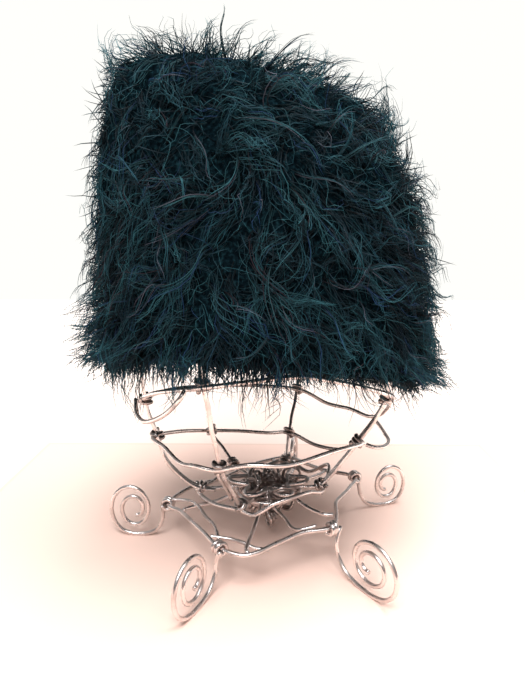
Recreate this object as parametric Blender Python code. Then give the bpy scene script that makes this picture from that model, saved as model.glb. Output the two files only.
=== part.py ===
"""A shaggy wool hat on its wire stand. Metres, +Z up, the front faces -Y.

The hat is a hollow knitted wall with a deep pile fused from curved locks.
The stand is a basket of hand-bent wire: five ribs that run up inside the
hat to a small top ring, three rings round the ribs, a five-cornered base
ring on spokes, a wound hub, and five feet that end in upright spirals.
"""

import math
import random

import bmesh
import bpy
import numpy as np
from mathutils import Vector

# Wire and the gaps between pieces
WIRE_DIAMETER = 0.003
PIECE_GAP = 0.0003
KNOT_GAP = 0.0005

# Base ring and feet
BASE_CORNER_RADIUS = 0.076
BASE_HEIGHT = 0.028
FOOT_REACH = 0.026
SPIRAL_RADIUS = 0.021
SPIRAL_END_RADIUS = 0.0055
SPIRAL_TURNS = 2.0
FOOT_FLAT_DEPTH = 0.0003
FOOT_FLAT_LENGTH = 0.0075
WRAP_TURNS = 2.5

# A foot's leg: how far out it is as a share of its reach, and how high as a
# share of its height
LEG_SHAPE = [(0.02, 0.72), (0.10, 0.40), (0.32, 0.13), (0.66, 0.02)]

# Hub, basket rings and the ring under the hat's crown
HUB_RADIUS = 0.024
HUB_HEIGHT = 0.033
HUB_COIL_RADIUS = 0.0165
HUB_COIL_TURNS = 3.5
FLOWER_RADIUS = 0.0235
FLOWER_WAVE = 0.007
FLOWER_PETALS = 6
SPOKE_TURN = 14
BASKET_RADIUS = 0.090
BASKET_HEIGHT = 0.110
TOP_RING_RADIUS = 0.030

# Knitted wall of the hat
HAT_RADIUS = 0.098
HAT_HEIGHT = 0.180
RIM_HEIGHT = 0.126
WALL_THICKNESS = 0.003
FORM_CLEARANCE = 0.0030
HAT_CENTRE_X = -0.004
RIM_SLOPE_X = -0.09
RIM_SLOPE_Y = -0.26
TOP_SLOPE_X = -0.19
TOP_SLOPE_Y = -0.10
HAT_SIDES = 20

# Pile: the thickness of its dense backing, and the locks on it
BACKING_THICKNESS = 0.010
LOCK_REACH = 0.0135
LOCK_DROP = 0.017
LOCK_SEED = 7

# Corners to a full turn of each kind of winding
WRAP_SIDES = 7
SPIRAL_SIDES = 12
COIL_SIDES = 9
PETAL_SIDES = 6
HUB_RING_SIDES = 20
TOP_RING_SIDES = 18

WIRE_RADIUS = WIRE_DIAMETER / 2
KNOT_STEP = WIRE_DIAMETER + KNOT_GAP
BUTT_STEP = WIRE_RADIUS + PIECE_GAP

# Feet: name, then the corner of the base ring that each hangs from, as a
# direction in degrees, a share of BASE_CORNER_RADIUS and a share of
# BASE_HEIGHT, then the way the foot points in degrees, its reach as a share
# of FOOT_REACH, its size as a share of SPIRAL_RADIUS, and the width of its
# spiral as a share of the height.
FEET = [
    ("left", 189, 1.00, 0.95, 177, 0.82, 1.00, 0.80),
    ("front_left", 246, 1.02, 0.96, 244, 1.00, 0.96, 0.94),
    ("front_right", 310, 0.88, 1.07, 305, 1.20, 0.93, 1.10),
    ("right", 22, 1.00, 1.07, 18, 0.98, 0.86, 0.84),
    ("back", 77, 0.97, 1.00, 77, 1.00, 0.90, 0.88),
]

# Ribs: name, direction in degrees, then radius as a share of BASKET_RADIUS
# and height as a share of BASKET_HEIGHT: where the lower ring crosses, at
# the belly between, and where the middle and the upper ring cross.
RIBS = [
    ("left", 188, 0.57, 0.345, 0.81, 0.51, 0.91, 0.73, 0.99, 0.98),
    ("front_left", 243, 0.47, 0.355, 0.63, 0.53, 0.76, 0.71, 0.95, 1.24),
    ("right", 350, 0.44, 0.365, 0.60, 0.53, 0.73, 0.69, 0.94, 1.00),
    ("back_right", 69, 0.42, 0.375, 0.47, 0.47, 0.52, 0.57, 0.76, 0.86),
    ("back_left", 134, 0.46, 0.365, 0.63, 0.46, 0.78, 0.56, 0.90, 0.89),
]

# Which of a rib's points each ring crosses, and how the rib follows the
# inside of the hat above them, in shares of HAT_HEIGHT
CROSSINGS = {"lower": 0, "middle": 2, "upper": 3}
FORM_LEVELS = [0.20, 0.46, 0.74, 0.91, 0.98]

# Free points of the rings between the ribs: direction in degrees, radius as
# a share of BASKET_RADIUS, height as a share of BASKET_HEIGHT
LOWER_RING = [
    (164, 0.50, 0.30),
    (215, 0.54, 0.32),
    (258, 0.52, 0.33),
    (274, 0.51, 0.40),
    (292, 0.50, 0.43),
    (312, 0.48, 0.42),
    (330, 0.48, 0.37),
    (20, 0.56, 0.41),
    (44, 0.50, 0.30),
    (101, 0.42, 0.31),
]
MIDDLE_RING = [
    (160, 0.84, 0.63),
    (202, 0.87, 0.71),
    (217, 0.83, 0.67),
    (231, 0.83, 0.70),
    (260, 0.83, 0.77),
    (280, 0.82, 0.77),
    (305, 0.80, 0.80),
    (330, 0.80, 0.76),
    (6, 0.76, 0.60),
    (26, 0.70, 0.49),
    (48, 0.64, 0.47),
    (90, 0.68, 0.50),
    (112, 0.75, 0.51),
]
UPPER_RING = [
    (158, 0.99, 0.92),
    (203, 1.01, 1.06),
    (222, 1.01, 1.16),
    (262, 1.01, 1.29),
    (282, 1.02, 1.32),
    (306, 1.03, 1.23),
    (330, 1.02, 1.10),
    (3, 1.00, 0.89),
    (13, 0.99, 0.78),
    (24, 0.98, 0.72),
    (37, 0.95, 0.73),
    (52, 0.90, 0.74),
    (100, 0.90, 0.84),
]

# Free points of the base ring between its corners: the same columns, with
# the radius as a share of BASE_CORNER_RADIUS and the height of BASE_HEIGHT
BASE_RING = [
    (202, 0.90, 0.98),
    (215, 0.87, 0.96),
    (231, 0.91, 0.98),
    (257, 1.05, 0.93),
    (264, 1.01, 0.95),
    (271, 0.92, 0.98),
    (281, 0.83, 1.00),
    (293, 0.79, 1.03),
    (325, 0.77, 1.06),
    (341, 0.69, 1.08),
    (357, 0.74, 1.04),
    (9, 0.85, 1.05),
    (41, 0.84, 1.04),
    (59, 0.87, 1.00),
    (100, 0.78, 1.00),
    (121, 0.63, 1.03),
    (143, 0.64, 0.97),
    (167, 0.82, 0.98),
]

# The loops that hang beside the basket, between a start and an end on a
# ring: the same columns as the rings
LEFT_LOOP = [
    (237, 1.07, 1.17),
    (231, 1.08, 1.08),
    (223, 1.08, 1.01),
    (214, 1.08, 0.965),
    (206, 1.08, 0.97),
    (201, 1.07, 1.01),
]
RIGHT_LOOP = [
    (351, 0.87, 0.655),
    (354, 0.95, 0.65),
    (0, 1.00, 0.655),
    (8, 1.01, 0.66),
    (16, 1.02, 0.68),
]

# Where the loops start and end beside their rings, in degrees
LEFT_LOOP_ENDS = (238, 197)
RIGHT_LOOP_ENDS = (352, 24)

# Profile of the hat: height as a share of HAT_HEIGHT, radius as a share of
# HAT_RADIUS, sideways shift of the centre as a share of HAT_RADIUS
HAT_PROFILE = [
    (0.00, 1.04, 0.00),
    (0.16, 1.005, -0.01),
    (0.34, 0.985, -0.02),
    (0.53, 0.955, -0.04),
    (0.71, 0.91, -0.06),
    (0.86, 0.83, -0.09),
    (0.96, 0.67, -0.12),
    (1.00, 0.46, -0.14),
]
# One more ring on the flat of the crown, for the pile alone
CROWN_FLAT = [
    (1.00, 0.24, -0.14),
]

# How the locks grow: level as a share of HAT_HEIGHT, then rise as a share of
# LOCK_DROP and spread as a share of LOCK_REACH. They hang over the sides and
# stand up on the crown.
LOCK_FLOW = [
    (0.00, -1.20, 0.95),
    (0.20, -0.80, 1.00),
    (0.75, -0.70, 1.00),
    (0.93, 0.10, 1.00),
    (1.00, 0.45, 0.80),
]
# A lock's steps from root to tip: width as a share of the last step, then
# shares of its reach and of its drop. The tip ends in a point.
LOCK_STEPS = [
    (0.72, 0.50, 0.20),
    (0.46, 0.35, 0.45),
]
LOCK_TIP = (0.20, 0.75)
LOCK_SIZES = (0.75, 1.2)
LOCK_SWAY = 0.45


def clear_scene():
    for item in list(bpy.data.objects):
        bpy.data.objects.remove(item, do_unlink=True)


def make_material(name, colour, roughness, metallic):
    material = bpy.data.materials.new(name)
    material.use_nodes = True
    shader = material.node_tree.nodes["Principled BSDF"]
    shader.inputs["Base Color"].default_value = (*colour, 1.0)
    shader.inputs["Roughness"].default_value = roughness
    shader.inputs["Metallic"].default_value = metallic
    return material


def polar(degrees, radius, height):
    angle = math.radians(degrees)
    return Vector((radius * math.cos(angle), radius * math.sin(angle), height))


def outward(point):
    return Vector((point.x, point.y, 0.0)).normalized()


def smooth_path(points, steps, closed=False):
    """A Catmull-Rom path that passes through every point, steps to a span."""
    count = len(points)
    spans = count if closed else count - 1
    path = []
    for index in range(spans):
        if closed:
            a, b, c, d = (points[(index + shift) % count] for shift in (-1, 0, 1, 2))
        else:
            a = points[max(index - 1, 0)]
            b = points[index]
            c = points[index + 1]
            d = points[min(index + 2, count - 1)]
        for step in range(steps):
            t = step / steps
            path.append(0.5 * (2 * b + (c - a) * t + (2 * a - 5 * b + 4 * c - d) * t * t
                               + (3 * b - a - 3 * c + d) * t ** 3))
    if not closed:
        path.append(points[-1])
    return path


def make_wire(name, path, closed=False):
    """One wire: a six-sided tube along a POLY spline."""
    curve = bpy.data.curves.new(name, "CURVE")
    curve.dimensions = "3D"
    curve.bevel_depth = WIRE_RADIUS
    curve.bevel_resolution = 1
    curve.use_fill_caps = not closed
    spline = curve.splines.new("POLY")
    spline.points.add(len(path) - 1)
    for point, place in zip(spline.points, path):
        point.co = (*place, 1.0)
    spline.use_cyclic_u = closed
    spline.use_smooth = True
    wire = bpy.data.objects.new(name, curve)
    add_piece(wire, WIRE_MATERIAL)
    return wire


def add_piece(piece, material):
    piece.data.materials.append(material)
    PARTS.objects.link(piece)
    piece.parent = ASSEMBLY


def wire_to_mesh(wire):
    """Turns a wire into a welded mesh object of the same name."""
    bpy.context.view_layer.update()
    evaluated = wire.evaluated_get(bpy.context.evaluated_depsgraph_get())
    mesh = bpy.data.meshes.new_from_object(evaluated)
    solid = bpy.data.objects.new(wire.name + "_mesh", mesh)
    solid.matrix_world = wire.matrix_world
    name = wire.name
    bpy.data.objects.remove(wire, do_unlink=True)
    solid.name = name
    solid.parent = ASSEMBLY
    PARTS.objects.link(solid)
    shape = bmesh.new()
    shape.from_mesh(mesh)
    bmesh.ops.remove_doubles(shape, verts=shape.verts, dist=1e-6)
    shape.to_mesh(mesh)
    shape.free()
    return solid


# The hat's form


def hat_profile(rows):
    """Height, radius and centre shift of each row, with the row's normal."""
    places = [Vector((radius * HAT_RADIUS, height * HAT_HEIGHT)) for height, radius, _ in rows]
    result = []
    for index, (_, _, shift) in enumerate(rows):
        before = places[max(index - 1, 0)]
        after = places[min(index + 1, len(rows) - 1)]
        along = (after - before).normalized()
        result.append((places[index], Vector((along.y, -along.x)), shift * HAT_RADIUS))
    return result


def hat_point(row, degrees, offset):
    """A point of the hat's form, moved off its outer face by the offset."""
    place, normal, shift = row
    radius = place.x + normal.x * offset
    height = place.y + normal.y * offset
    share = min(max(place.y / HAT_HEIGHT, 0.0), 1.0)
    angle = math.radians(degrees)
    x = HAT_CENTRE_X + shift + radius * math.cos(angle)
    y = radius * math.sin(angle)
    slope_x = RIM_SLOPE_X + (TOP_SLOPE_X - RIM_SLOPE_X) * share
    slope_y = RIM_SLOPE_Y + (TOP_SLOPE_Y - RIM_SLOPE_Y) * share
    return Vector((x, y, RIM_HEIGHT + height + slope_x * x + slope_y * y))


def row_at(rows, level):
    """The profile row at any height share below the crown's flat."""
    heights = [row[0] for row in HAT_PROFILE]
    index = max(i for i in range(len(heights) - 1) if heights[i] <= level)
    mix = (level - heights[index]) / (heights[index + 1] - heights[index])
    low = rows[index]
    high = rows[index + 1]
    normal = low[1].lerp(high[1], mix).normalized()
    return low[0].lerp(high[0], mix), normal, low[2] + (high[2] - low[2]) * mix


def loft(rings):
    """Closed body through rings of equal size, with a face on each end."""
    shape = bmesh.new()
    loops = [[shape.verts.new(point) for point in ring] for ring in rings]
    side = len(loops[0])
    outer_faces = []
    for lower, upper in zip(loops, loops[1:]):
        for index in range(side):
            after = (index + 1) % side
            outer_faces.append(shape.faces.new((lower[index], lower[after], upper[after], upper[index])))
    shape.faces.new(loops[-1])
    shape.faces.new(list(reversed(loops[0])))
    bmesh.ops.recalc_face_normals(shape, faces=shape.faces)
    return shape, outer_faces


def hat_rings(rows, offset):
    return [[hat_point(row, 360.0 * side / HAT_SIDES, offset) for side in range(HAT_SIDES)]
            for row in rows]


def finish_mesh(name, shape, material):
    mesh = bpy.data.meshes.new(name)
    shape.to_mesh(mesh)
    shape.free()
    mesh.shade_smooth()
    piece = bpy.data.objects.new(name, mesh)
    add_piece(piece, material)
    return piece


def make_knit_wall(rows):
    """The knitted wall: closed crown, open rim, one thickness all over."""
    inner = hat_rings(rows, -WALL_THICKNESS)
    outer = hat_rings(rows, 0.0)
    shape, _ = loft(list(reversed(inner)) + outer)
    finish_mesh("knit_wall", shape, KNIT_MATERIAL)


def lock_direction(centre, level, rng):
    """Where a lock grows: out from the wall, and down except near the crown."""
    levels, rises, spreads = zip(*LOCK_FLOW)
    out = outward(centre)
    rise = np.interp(level, levels, rises)
    spread = np.interp(level, levels, spreads)
    side = Vector((-out.y, out.x, 0.0)) * rng.uniform(-LOCK_SWAY, LOCK_SWAY)
    return out * spread, Vector((0.0, 0.0, rise)) + side


def grow_lock(shape, face, level, rng):
    """Draws one face out into a tapered lock that curls over at its tip."""
    out, drop = lock_direction(face.calc_center_median(), level, rng)
    size = rng.uniform(*LOCK_SIZES)
    for taper, reach_share, drop_share in LOCK_STEPS:
        grown = bmesh.ops.extrude_discrete_faces(shape, faces=[face])
        face = grown["faces"][0]
        centre = face.calc_center_median()
        move = (out * LOCK_REACH * reach_share + drop * LOCK_DROP * drop_share) * size
        for vert in face.verts:
            vert.co = centre + (vert.co - centre) * taper + move
    reach_share, drop_share = LOCK_TIP
    tip = bmesh.ops.poke(shape, faces=[face])["verts"][0]
    tip.co += (out * LOCK_REACH * reach_share + drop * LOCK_DROP * drop_share) * size


def make_pile(rows):
    """The pile: a backing just outside the wall, its face drawn into locks."""
    inner = hat_rings(rows, PIECE_GAP)
    outer = hat_rings(rows, BACKING_THICKNESS)
    shape, faces = loft(list(reversed(inner)) + outer)
    rng = random.Random(LOCK_SEED)
    inner_count = len(rows) * HAT_SIDES
    for index, face in enumerate(faces[inner_count:]):
        row = index // HAT_SIDES
        level = (rows[row][0].y + rows[row + 1][0].y) / (2 * HAT_HEIGHT)
        flat = row >= len(HAT_PROFILE) - 1
        grow_lock(shape, face, 1.0 if flat else level * 0.97, rng)
    finish_mesh("fur_pile", shape, PILE_MATERIAL)


# The wire stand


def rib_points(rib):
    """The rib's points below the hat: lower ring, belly, middle and upper ring."""
    _, degrees, *shares = rib
    return [polar(degrees, radius * BASKET_RADIUS, height * BASKET_HEIGHT)
            for radius, height in zip(shares[0::2], shares[1::2])]


def rib_path(rib, rows, crown_row):
    """From the hub up through the rings, then along the inside of the hat."""
    degrees = rib[1]
    inset = WALL_THICKNESS + WIRE_RADIUS + FORM_CLEARANCE
    start = polar(degrees, HUB_COIL_RADIUS + BUTT_STEP, HUB_HEIGHT + KNOT_STEP)
    over_hub = polar(degrees, HUB_RADIUS, HUB_HEIGHT + KNOT_STEP)
    inside = [hat_point(row_at(rows, level), degrees, -inset) for level in FORM_LEVELS]
    end = top_ring_point(crown_row, degrees, TOP_RING_RADIUS + BUTT_STEP)
    approach = top_ring_point(crown_row, degrees, TOP_RING_RADIUS + 4 * WIRE_DIAMETER)
    approach.z -= WIRE_RADIUS
    return smooth_path([start, over_hub] + rib_points(rib) + inside + [approach, end], 2)


def top_ring_point(crown_row, degrees, radius):
    """A point of the plane in which the top ring lies under the crown."""
    place, _, shift = crown_row
    depth = WALL_THICKNESS + WIRE_RADIUS + KNOT_GAP
    return hat_point((Vector((radius, place.y)), Vector((0.0, 1.0)), shift), degrees, -depth)


def knot_outside(rib, index):
    """Where a ring passes a rib: one wire and a gap away, on its outer side."""
    crossings = rib_points(rib)
    before = crossings[max(index - 1, 0)]
    after = crossings[min(index + 1, len(crossings) - 1)]
    along = (after - before).normalized()
    out = outward(crossings[index])
    normal = (out - along * out.dot(along)).normalized()
    return crossings[index] + normal * KNOT_STEP


def direction_of(point):
    return math.degrees(math.atan2(point.y, point.x)) % 360


def ring_path(table, index):
    points = [polar(a, r * BASKET_RADIUS, h * BASKET_HEIGHT) for a, r, h in table]
    points += [knot_outside(rib, index) for rib in RIBS]
    return smooth_path(sorted(points, key=direction_of), 2, closed=True)


def foot_corner(foot):
    _, degrees, radius, height, *_ = foot
    return polar(degrees, radius * BASE_CORNER_RADIUS, height * BASE_HEIGHT)


def base_ring_path():
    points = [polar(a, r * BASE_CORNER_RADIUS, h * BASE_HEIGHT) for a, r, h in BASE_RING]
    points += [foot_corner(foot) for foot in FEET]
    return smooth_path(sorted(points, key=direction_of), 2, closed=True)


def nearest_index(path, degrees):
    def turn(point):
        return abs((direction_of(point) - degrees + 180) % 360 - 180)
    return min(range(len(path)), key=lambda index: turn(path[index]))


def beside_ring(path, degrees):
    point = path[nearest_index(path, degrees)]
    return point + outward(point) * KNOT_STEP


def loop_path(table, start, end):
    middle = [polar(a, r * BASKET_RADIUS, h * BASKET_HEIGHT) for a, r, h in table]
    return smooth_path([start] + middle + [end], 2)


def wrap_path(path, degrees, turns):
    """Turns of wire wound round a closed ring, centred on a direction."""
    pitch = WIRE_DIAMETER + PIECE_GAP
    count = int(turns * WRAP_SIDES)
    middle = nearest_index(path, degrees)
    size = len(path)
    here = path[middle]
    after = (path[(middle + 1) % size] - here).normalized()
    before = (here - path[(middle - 1) % size]).normalized()
    points = []
    for step in range(count + 1):
        distance = pitch * (step / WRAP_SIDES - turns / 2)
        along = after if distance > 0 else before
        centre = here + along * distance
        mean = (after + before).normalized()
        up = Vector((0.0, 0.0, 1.0))
        out = mean.cross(up).normalized()
        level = out.cross(mean)
        angle = 2 * math.pi * (step - count) / WRAP_SIDES
        points.append(centre + (out * math.cos(angle) + level * math.sin(angle)) * KNOT_STEP)
    return points


def spiral_path(top, heading, reach, size, width):
    """From the base ring down to the floor, then round and round inwards."""
    ahead = polar(heading, 1.0, 0.0)
    floor = WIRE_RADIUS - FOOT_FLAT_DEPTH

    def place(distance, height):
        return Vector((top.x, top.y, 0.0)) + ahead * distance + Vector((0, 0, height))

    path = [place(reach * along, floor + (top.z - floor) * height) for along, height in LEG_SHAPE]
    path += [place(reach + side * FOOT_FLAT_LENGTH / 2, floor) for side in (-1, 1)]
    count = int(SPIRAL_TURNS * SPIRAL_SIDES)
    for step in range(1, count + 1):
        share = step / count
        radius = size * (SPIRAL_RADIUS + (SPIRAL_END_RADIUS - SPIRAL_RADIUS) * share)
        angle = 2 * math.pi * step / SPIRAL_SIDES - math.pi / 2
        centre = reach + FOOT_FLAT_LENGTH / 2 * (1 - share)
        path.append(place(centre + radius * width * math.cos(angle),
                          floor + size * SPIRAL_RADIUS + radius * math.sin(angle)))
    return path


def make_foot(foot, base_path):
    """One wire: wound round the base ring's corner, then leg and spiral."""
    name, degrees, _, _, heading, reach, size, width = foot
    wrap = wrap_path(base_path, degrees, WRAP_TURNS)
    corner = base_path[nearest_index(base_path, degrees)]
    top = corner + outward(corner) * KNOT_STEP
    leg = spiral_path(top, heading, reach * FOOT_REACH, size, width)
    solid = wire_to_mesh(make_wire("foot_" + name, wrap + leg))
    shape = bmesh.new()
    shape.from_mesh(solid.data)
    cut = bmesh.ops.bisect_plane(shape, geom=shape.verts[:] + shape.edges[:] + shape.faces[:],
                                 plane_co=(0, 0, 0), plane_no=(0, 0, -1), clear_outer=True)
    edges = [item for item in cut["geom_cut"] if isinstance(item, bmesh.types.BMEdge)]
    bmesh.ops.holes_fill(shape, edges=edges)
    bmesh.ops.recalc_face_normals(shape, faces=shape.faces)
    shape.to_mesh(solid.data)
    shape.free()


def circle_path(radius, height, count):
    return [polar(360 * step / count, radius, height) for step in range(count)]


def make_hub():
    make_wire("hub_ring", circle_path(HUB_RADIUS, HUB_HEIGHT, HUB_RING_SIDES), closed=True)
    count = int(HUB_COIL_TURNS * COIL_SIDES)
    foot = HUB_HEIGHT + KNOT_STEP - KNOT_STEP * HUB_COIL_TURNS
    coil = [polar(360 * step / COIL_SIDES, HUB_COIL_RADIUS, foot + KNOT_STEP * step / COIL_SIDES)
            for step in range(count + 1)]
    make_wire("hub_coil", coil)
    petals = []
    count = FLOWER_PETALS * PETAL_SIDES
    for step in range(count):
        angle = 360 * step / count
        wave = math.cos(math.radians(angle * FLOWER_PETALS))
        height = HUB_HEIGHT + 2 * KNOT_STEP + WIRE_RADIUS * (1 + wave) ** 2 / 5
        petals.append(polar(angle, FLOWER_RADIUS + FLOWER_WAVE * wave, height))
    make_wire("hub_flower", petals, closed=True)


def make_spokes(base_path):
    """Five wires from the hub ring to the base ring, each meeting it squarely."""
    size = len(base_path)
    for name, degrees, *_ in FEET:
        index = nearest_index(base_path, degrees + SPOKE_TURN)
        ring = base_path[index]
        along = base_path[(index + 1) % size] - base_path[index - 1]
        inward = Vector((-along.y, along.x, 0.0)).normalized()
        end = ring + inward * (BUTT_STEP + PIECE_GAP)
        approach = ring + inward * 3 * WIRE_DIAMETER
        start = polar(direction_of(approach), HUB_RADIUS + BUTT_STEP + PIECE_GAP, HUB_HEIGHT)
        middle = start.lerp(approach, 0.5) - Vector((0, 0, WIRE_RADIUS))
        make_wire("spoke_" + name, smooth_path([start, middle, approach, end], 2))


def make_stand(rows):
    base_path = base_ring_path()
    make_wire("base_ring", base_path, closed=True)
    for foot in FEET:
        make_foot(foot, base_path)
    make_hub()
    make_spokes(base_path)
    crown_row = rows[-1]
    for rib in RIBS:
        make_wire("rib_" + rib[0], rib_path(rib, rows, crown_row))
    lower = ring_path(LOWER_RING, CROSSINGS["lower"])
    middle = ring_path(MIDDLE_RING, CROSSINGS["middle"])
    upper = ring_path(UPPER_RING, CROSSINGS["upper"])
    make_wire("ring_lower", lower, closed=True)
    make_wire("ring_middle", middle, closed=True)
    make_wire("ring_upper", upper, closed=True)
    start, end = LEFT_LOOP_ENDS
    make_wire("loop_left", loop_path(LEFT_LOOP, beside_ring(upper, start), beside_ring(upper, end)))
    start, end = RIGHT_LOOP_ENDS
    make_wire("loop_right", loop_path(RIGHT_LOOP, beside_ring(middle, start), beside_ring(upper, end)))
    top = [top_ring_point(crown_row, 360 * step / TOP_RING_SIDES, TOP_RING_RADIUS)
           for step in range(TOP_RING_SIDES)]
    make_wire("top_ring", top, closed=True)


def centre_on_floor():
    """Moves the whole thing so that its box stands centred on the origin."""
    bpy.context.view_layer.update()
    depsgraph = bpy.context.evaluated_depsgraph_get()
    corners = []
    for piece in PARTS.objects:
        if piece.type == "EMPTY":
            continue
        evaluated = piece.evaluated_get(depsgraph)
        mesh = evaluated.to_mesh()
        corners += [piece.matrix_world @ vert.co for vert in mesh.vertices]
        evaluated.to_mesh_clear()
    places = np.array([tuple(corner) for corner in corners])
    low = places.min(axis=0)
    high = places.max(axis=0)
    ASSEMBLY.location = (-(low[0] + high[0]) / 2, -(low[1] + high[1]) / 2, -low[2])


clear_scene()
PARTS = bpy.data.collections.new("wool_hat_on_wire_stand")
bpy.context.scene.collection.children.link(PARTS)
ASSEMBLY = bpy.data.objects.new("assembly", None)
PARTS.objects.link(ASSEMBLY)
WIRE_MATERIAL = make_material("silver_wire", (0.72, 0.71, 0.70), 0.28, 1.0)
KNIT_MATERIAL = make_material("dark_knit", (0.010, 0.030, 0.035), 0.95, 0.0)
PILE_MATERIAL = make_material("teal_pile", (0.012, 0.055, 0.065), 0.85, 0.0)

WALL_ROWS = hat_profile(HAT_PROFILE)
PILE_ROWS = hat_profile(HAT_PROFILE + CROWN_FLAT)
make_knit_wall(WALL_ROWS)
make_pile(PILE_ROWS)
make_stand(WALL_ROWS)
centre_on_floor()
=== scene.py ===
"""A shaggy wool hat on its hand-bent wire stand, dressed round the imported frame. Metres, +Z up."""

import math
from collections import namedtuple

import bpy
import numpy as np
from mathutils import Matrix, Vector


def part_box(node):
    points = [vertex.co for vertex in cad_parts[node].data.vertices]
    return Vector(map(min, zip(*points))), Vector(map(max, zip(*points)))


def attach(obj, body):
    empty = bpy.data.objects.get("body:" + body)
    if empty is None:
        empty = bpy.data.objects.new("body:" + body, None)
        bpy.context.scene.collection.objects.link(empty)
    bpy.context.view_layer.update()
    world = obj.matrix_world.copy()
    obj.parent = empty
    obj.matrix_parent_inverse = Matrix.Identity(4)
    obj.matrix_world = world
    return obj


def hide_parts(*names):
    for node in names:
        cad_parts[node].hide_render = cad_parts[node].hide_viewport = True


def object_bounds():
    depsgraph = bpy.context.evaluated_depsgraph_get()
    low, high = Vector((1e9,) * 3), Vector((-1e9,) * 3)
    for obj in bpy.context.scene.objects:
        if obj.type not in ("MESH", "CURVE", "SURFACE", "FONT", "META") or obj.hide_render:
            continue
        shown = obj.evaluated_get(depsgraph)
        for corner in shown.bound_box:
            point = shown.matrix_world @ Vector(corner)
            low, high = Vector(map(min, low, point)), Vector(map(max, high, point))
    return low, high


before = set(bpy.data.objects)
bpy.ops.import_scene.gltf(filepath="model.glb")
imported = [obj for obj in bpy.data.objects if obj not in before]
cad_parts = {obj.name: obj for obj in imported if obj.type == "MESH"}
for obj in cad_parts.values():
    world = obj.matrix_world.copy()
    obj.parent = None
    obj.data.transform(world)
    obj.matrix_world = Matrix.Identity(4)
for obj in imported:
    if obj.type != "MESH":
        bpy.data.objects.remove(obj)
CAD_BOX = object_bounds()

# Wire
WIRE_RADIUS = 0.0015
KNOT_STEP = 0.0035
BUTT_STEP = 0.0018
WIRE_SIDES = 10
WIRE_WOBBLE = 0.0005
PAIR_GAP = 2.25 * WIRE_RADIUS
PAIR_SWAY = 0.0007
PAIR_WIRE_RADIUS = 0.9 * WIRE_RADIUS
BRACE_WIRE_RADIUS = 0.85 * WIRE_RADIUS
PATH_STEPS = 8
CIRCLE_STEPS = 60
SILVER = ((0.56, 0.50, 0.48), (0.75, 0.69, 0.67), (0.87, 0.82, 0.80))
# Darker shades of the same silver: painted shade for the wound wire of the hub's tangle and the knots.
PAINTED_SHADE_SILVER = ((0.26, 0.22, 0.21), (0.44, 0.39, 0.37), (0.68, 0.63, 0.61))

# Base ring, feet and hub
BASE_CORNER_RADIUS = 0.076
BASE_HEIGHT = 0.028
FOOT_REACH = 0.026
SPIRAL_RADIUS = 0.021
SPIRAL_END_RADIUS = 0.0055
SPIRAL_TURNS = 2.0
FOOT_FLAT_DEPTH = 0.0003
FOOT_FLAT_LENGTH = 0.0075
LEG_SHAPE = [(0.02, 0.72), (0.10, 0.40), (0.32, 0.13), (0.66, 0.02)]
WRAP_TURNS = 2.5
WRAP_PITCH = 0.0033
WRAP_STEPS = 14
KNOT_TURNS = 2.2
SPIRAL_STEPS = 12
HUB_RADIUS = 0.024
HUB_HEIGHT = 0.033
HUB_COIL_RADIUS = 0.0165
HUB_COIL_TURNS = 3.5
HUB_COIL_STEPS = 36
FLOWER_RADIUS = 0.0235
FLOWER_WAVE = 0.007
FLOWER_PETALS = 6
PETAL_STEPS = 18
SPOKE_TURN = 14
SPOKE_GAP = 0.0003

# Basket rings and the ring under the crown
BASKET_RADIUS = 0.090
BASKET_HEIGHT = 0.110
TOP_RING_RADIUS = 0.030

# The hat's form
HAT_RADIUS = 0.098
HAT_HEIGHT = 0.180
RIM_HEIGHT = 0.126
WALL_THICKNESS = 0.003
FORM_CLEARANCE = 0.0030
HAT_CENTRE_X = -0.004
RIM_SLOPE_X = -0.09
RIM_SLOPE_Y = -0.26
TOP_SLOPE_X = -0.19
TOP_SLOPE_Y = -0.10

# The frame's origin is the middle of the box, the hub's is the middle of the hub ring
HUB_LOW, HUB_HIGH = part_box("hub_ring")
SHIFT = np.array((HUB_LOW + HUB_HIGH) / 2) - np.array((0.0, 0.0, HUB_HEIGHT))

# Feet: name, corner's direction, its radius and height as shares, the way the
# foot points, its reach, size and width as shares
FEET = [
    ("left", 189, 1.00, 0.95, 177, 0.82, 1.00, 0.80),
    ("front_left", 246, 1.02, 0.96, 244, 1.00, 0.96, 0.94),
    ("front_right", 310, 0.88, 1.07, 305, 1.20, 0.93, 1.10),
    ("right", 22, 1.00, 1.07, 18, 0.98, 0.86, 0.84),
    ("back", 77, 0.97, 1.00, 77, 1.00, 0.90, 0.88),
]

# Ribs: name, direction, then radius and height as shares of the basket's: at
# the lower ring, the belly, the middle ring and the upper ring
RIBS = [
    ("left", 188, 0.57, 0.345, 0.81, 0.51, 0.91, 0.73, 0.99, 0.98),
    ("front_left", 243, 0.47, 0.355, 0.63, 0.53, 0.76, 0.71, 0.95, 1.24),
    ("right", 350, 0.44, 0.365, 0.60, 0.53, 0.73, 0.69, 0.94, 1.00),
    ("back_right", 69, 0.42, 0.375, 0.47, 0.47, 0.52, 0.57, 0.76, 0.86),
    ("back_left", 134, 0.46, 0.365, 0.63, 0.46, 0.78, 0.56, 0.90, 0.89),
]
CROSSINGS = {"ring_lower": 0, "ring_middle": 2, "ring_upper": 3}
FORM_LEVELS = [0.20, 0.46, 0.74, 0.91, 0.98]

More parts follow.
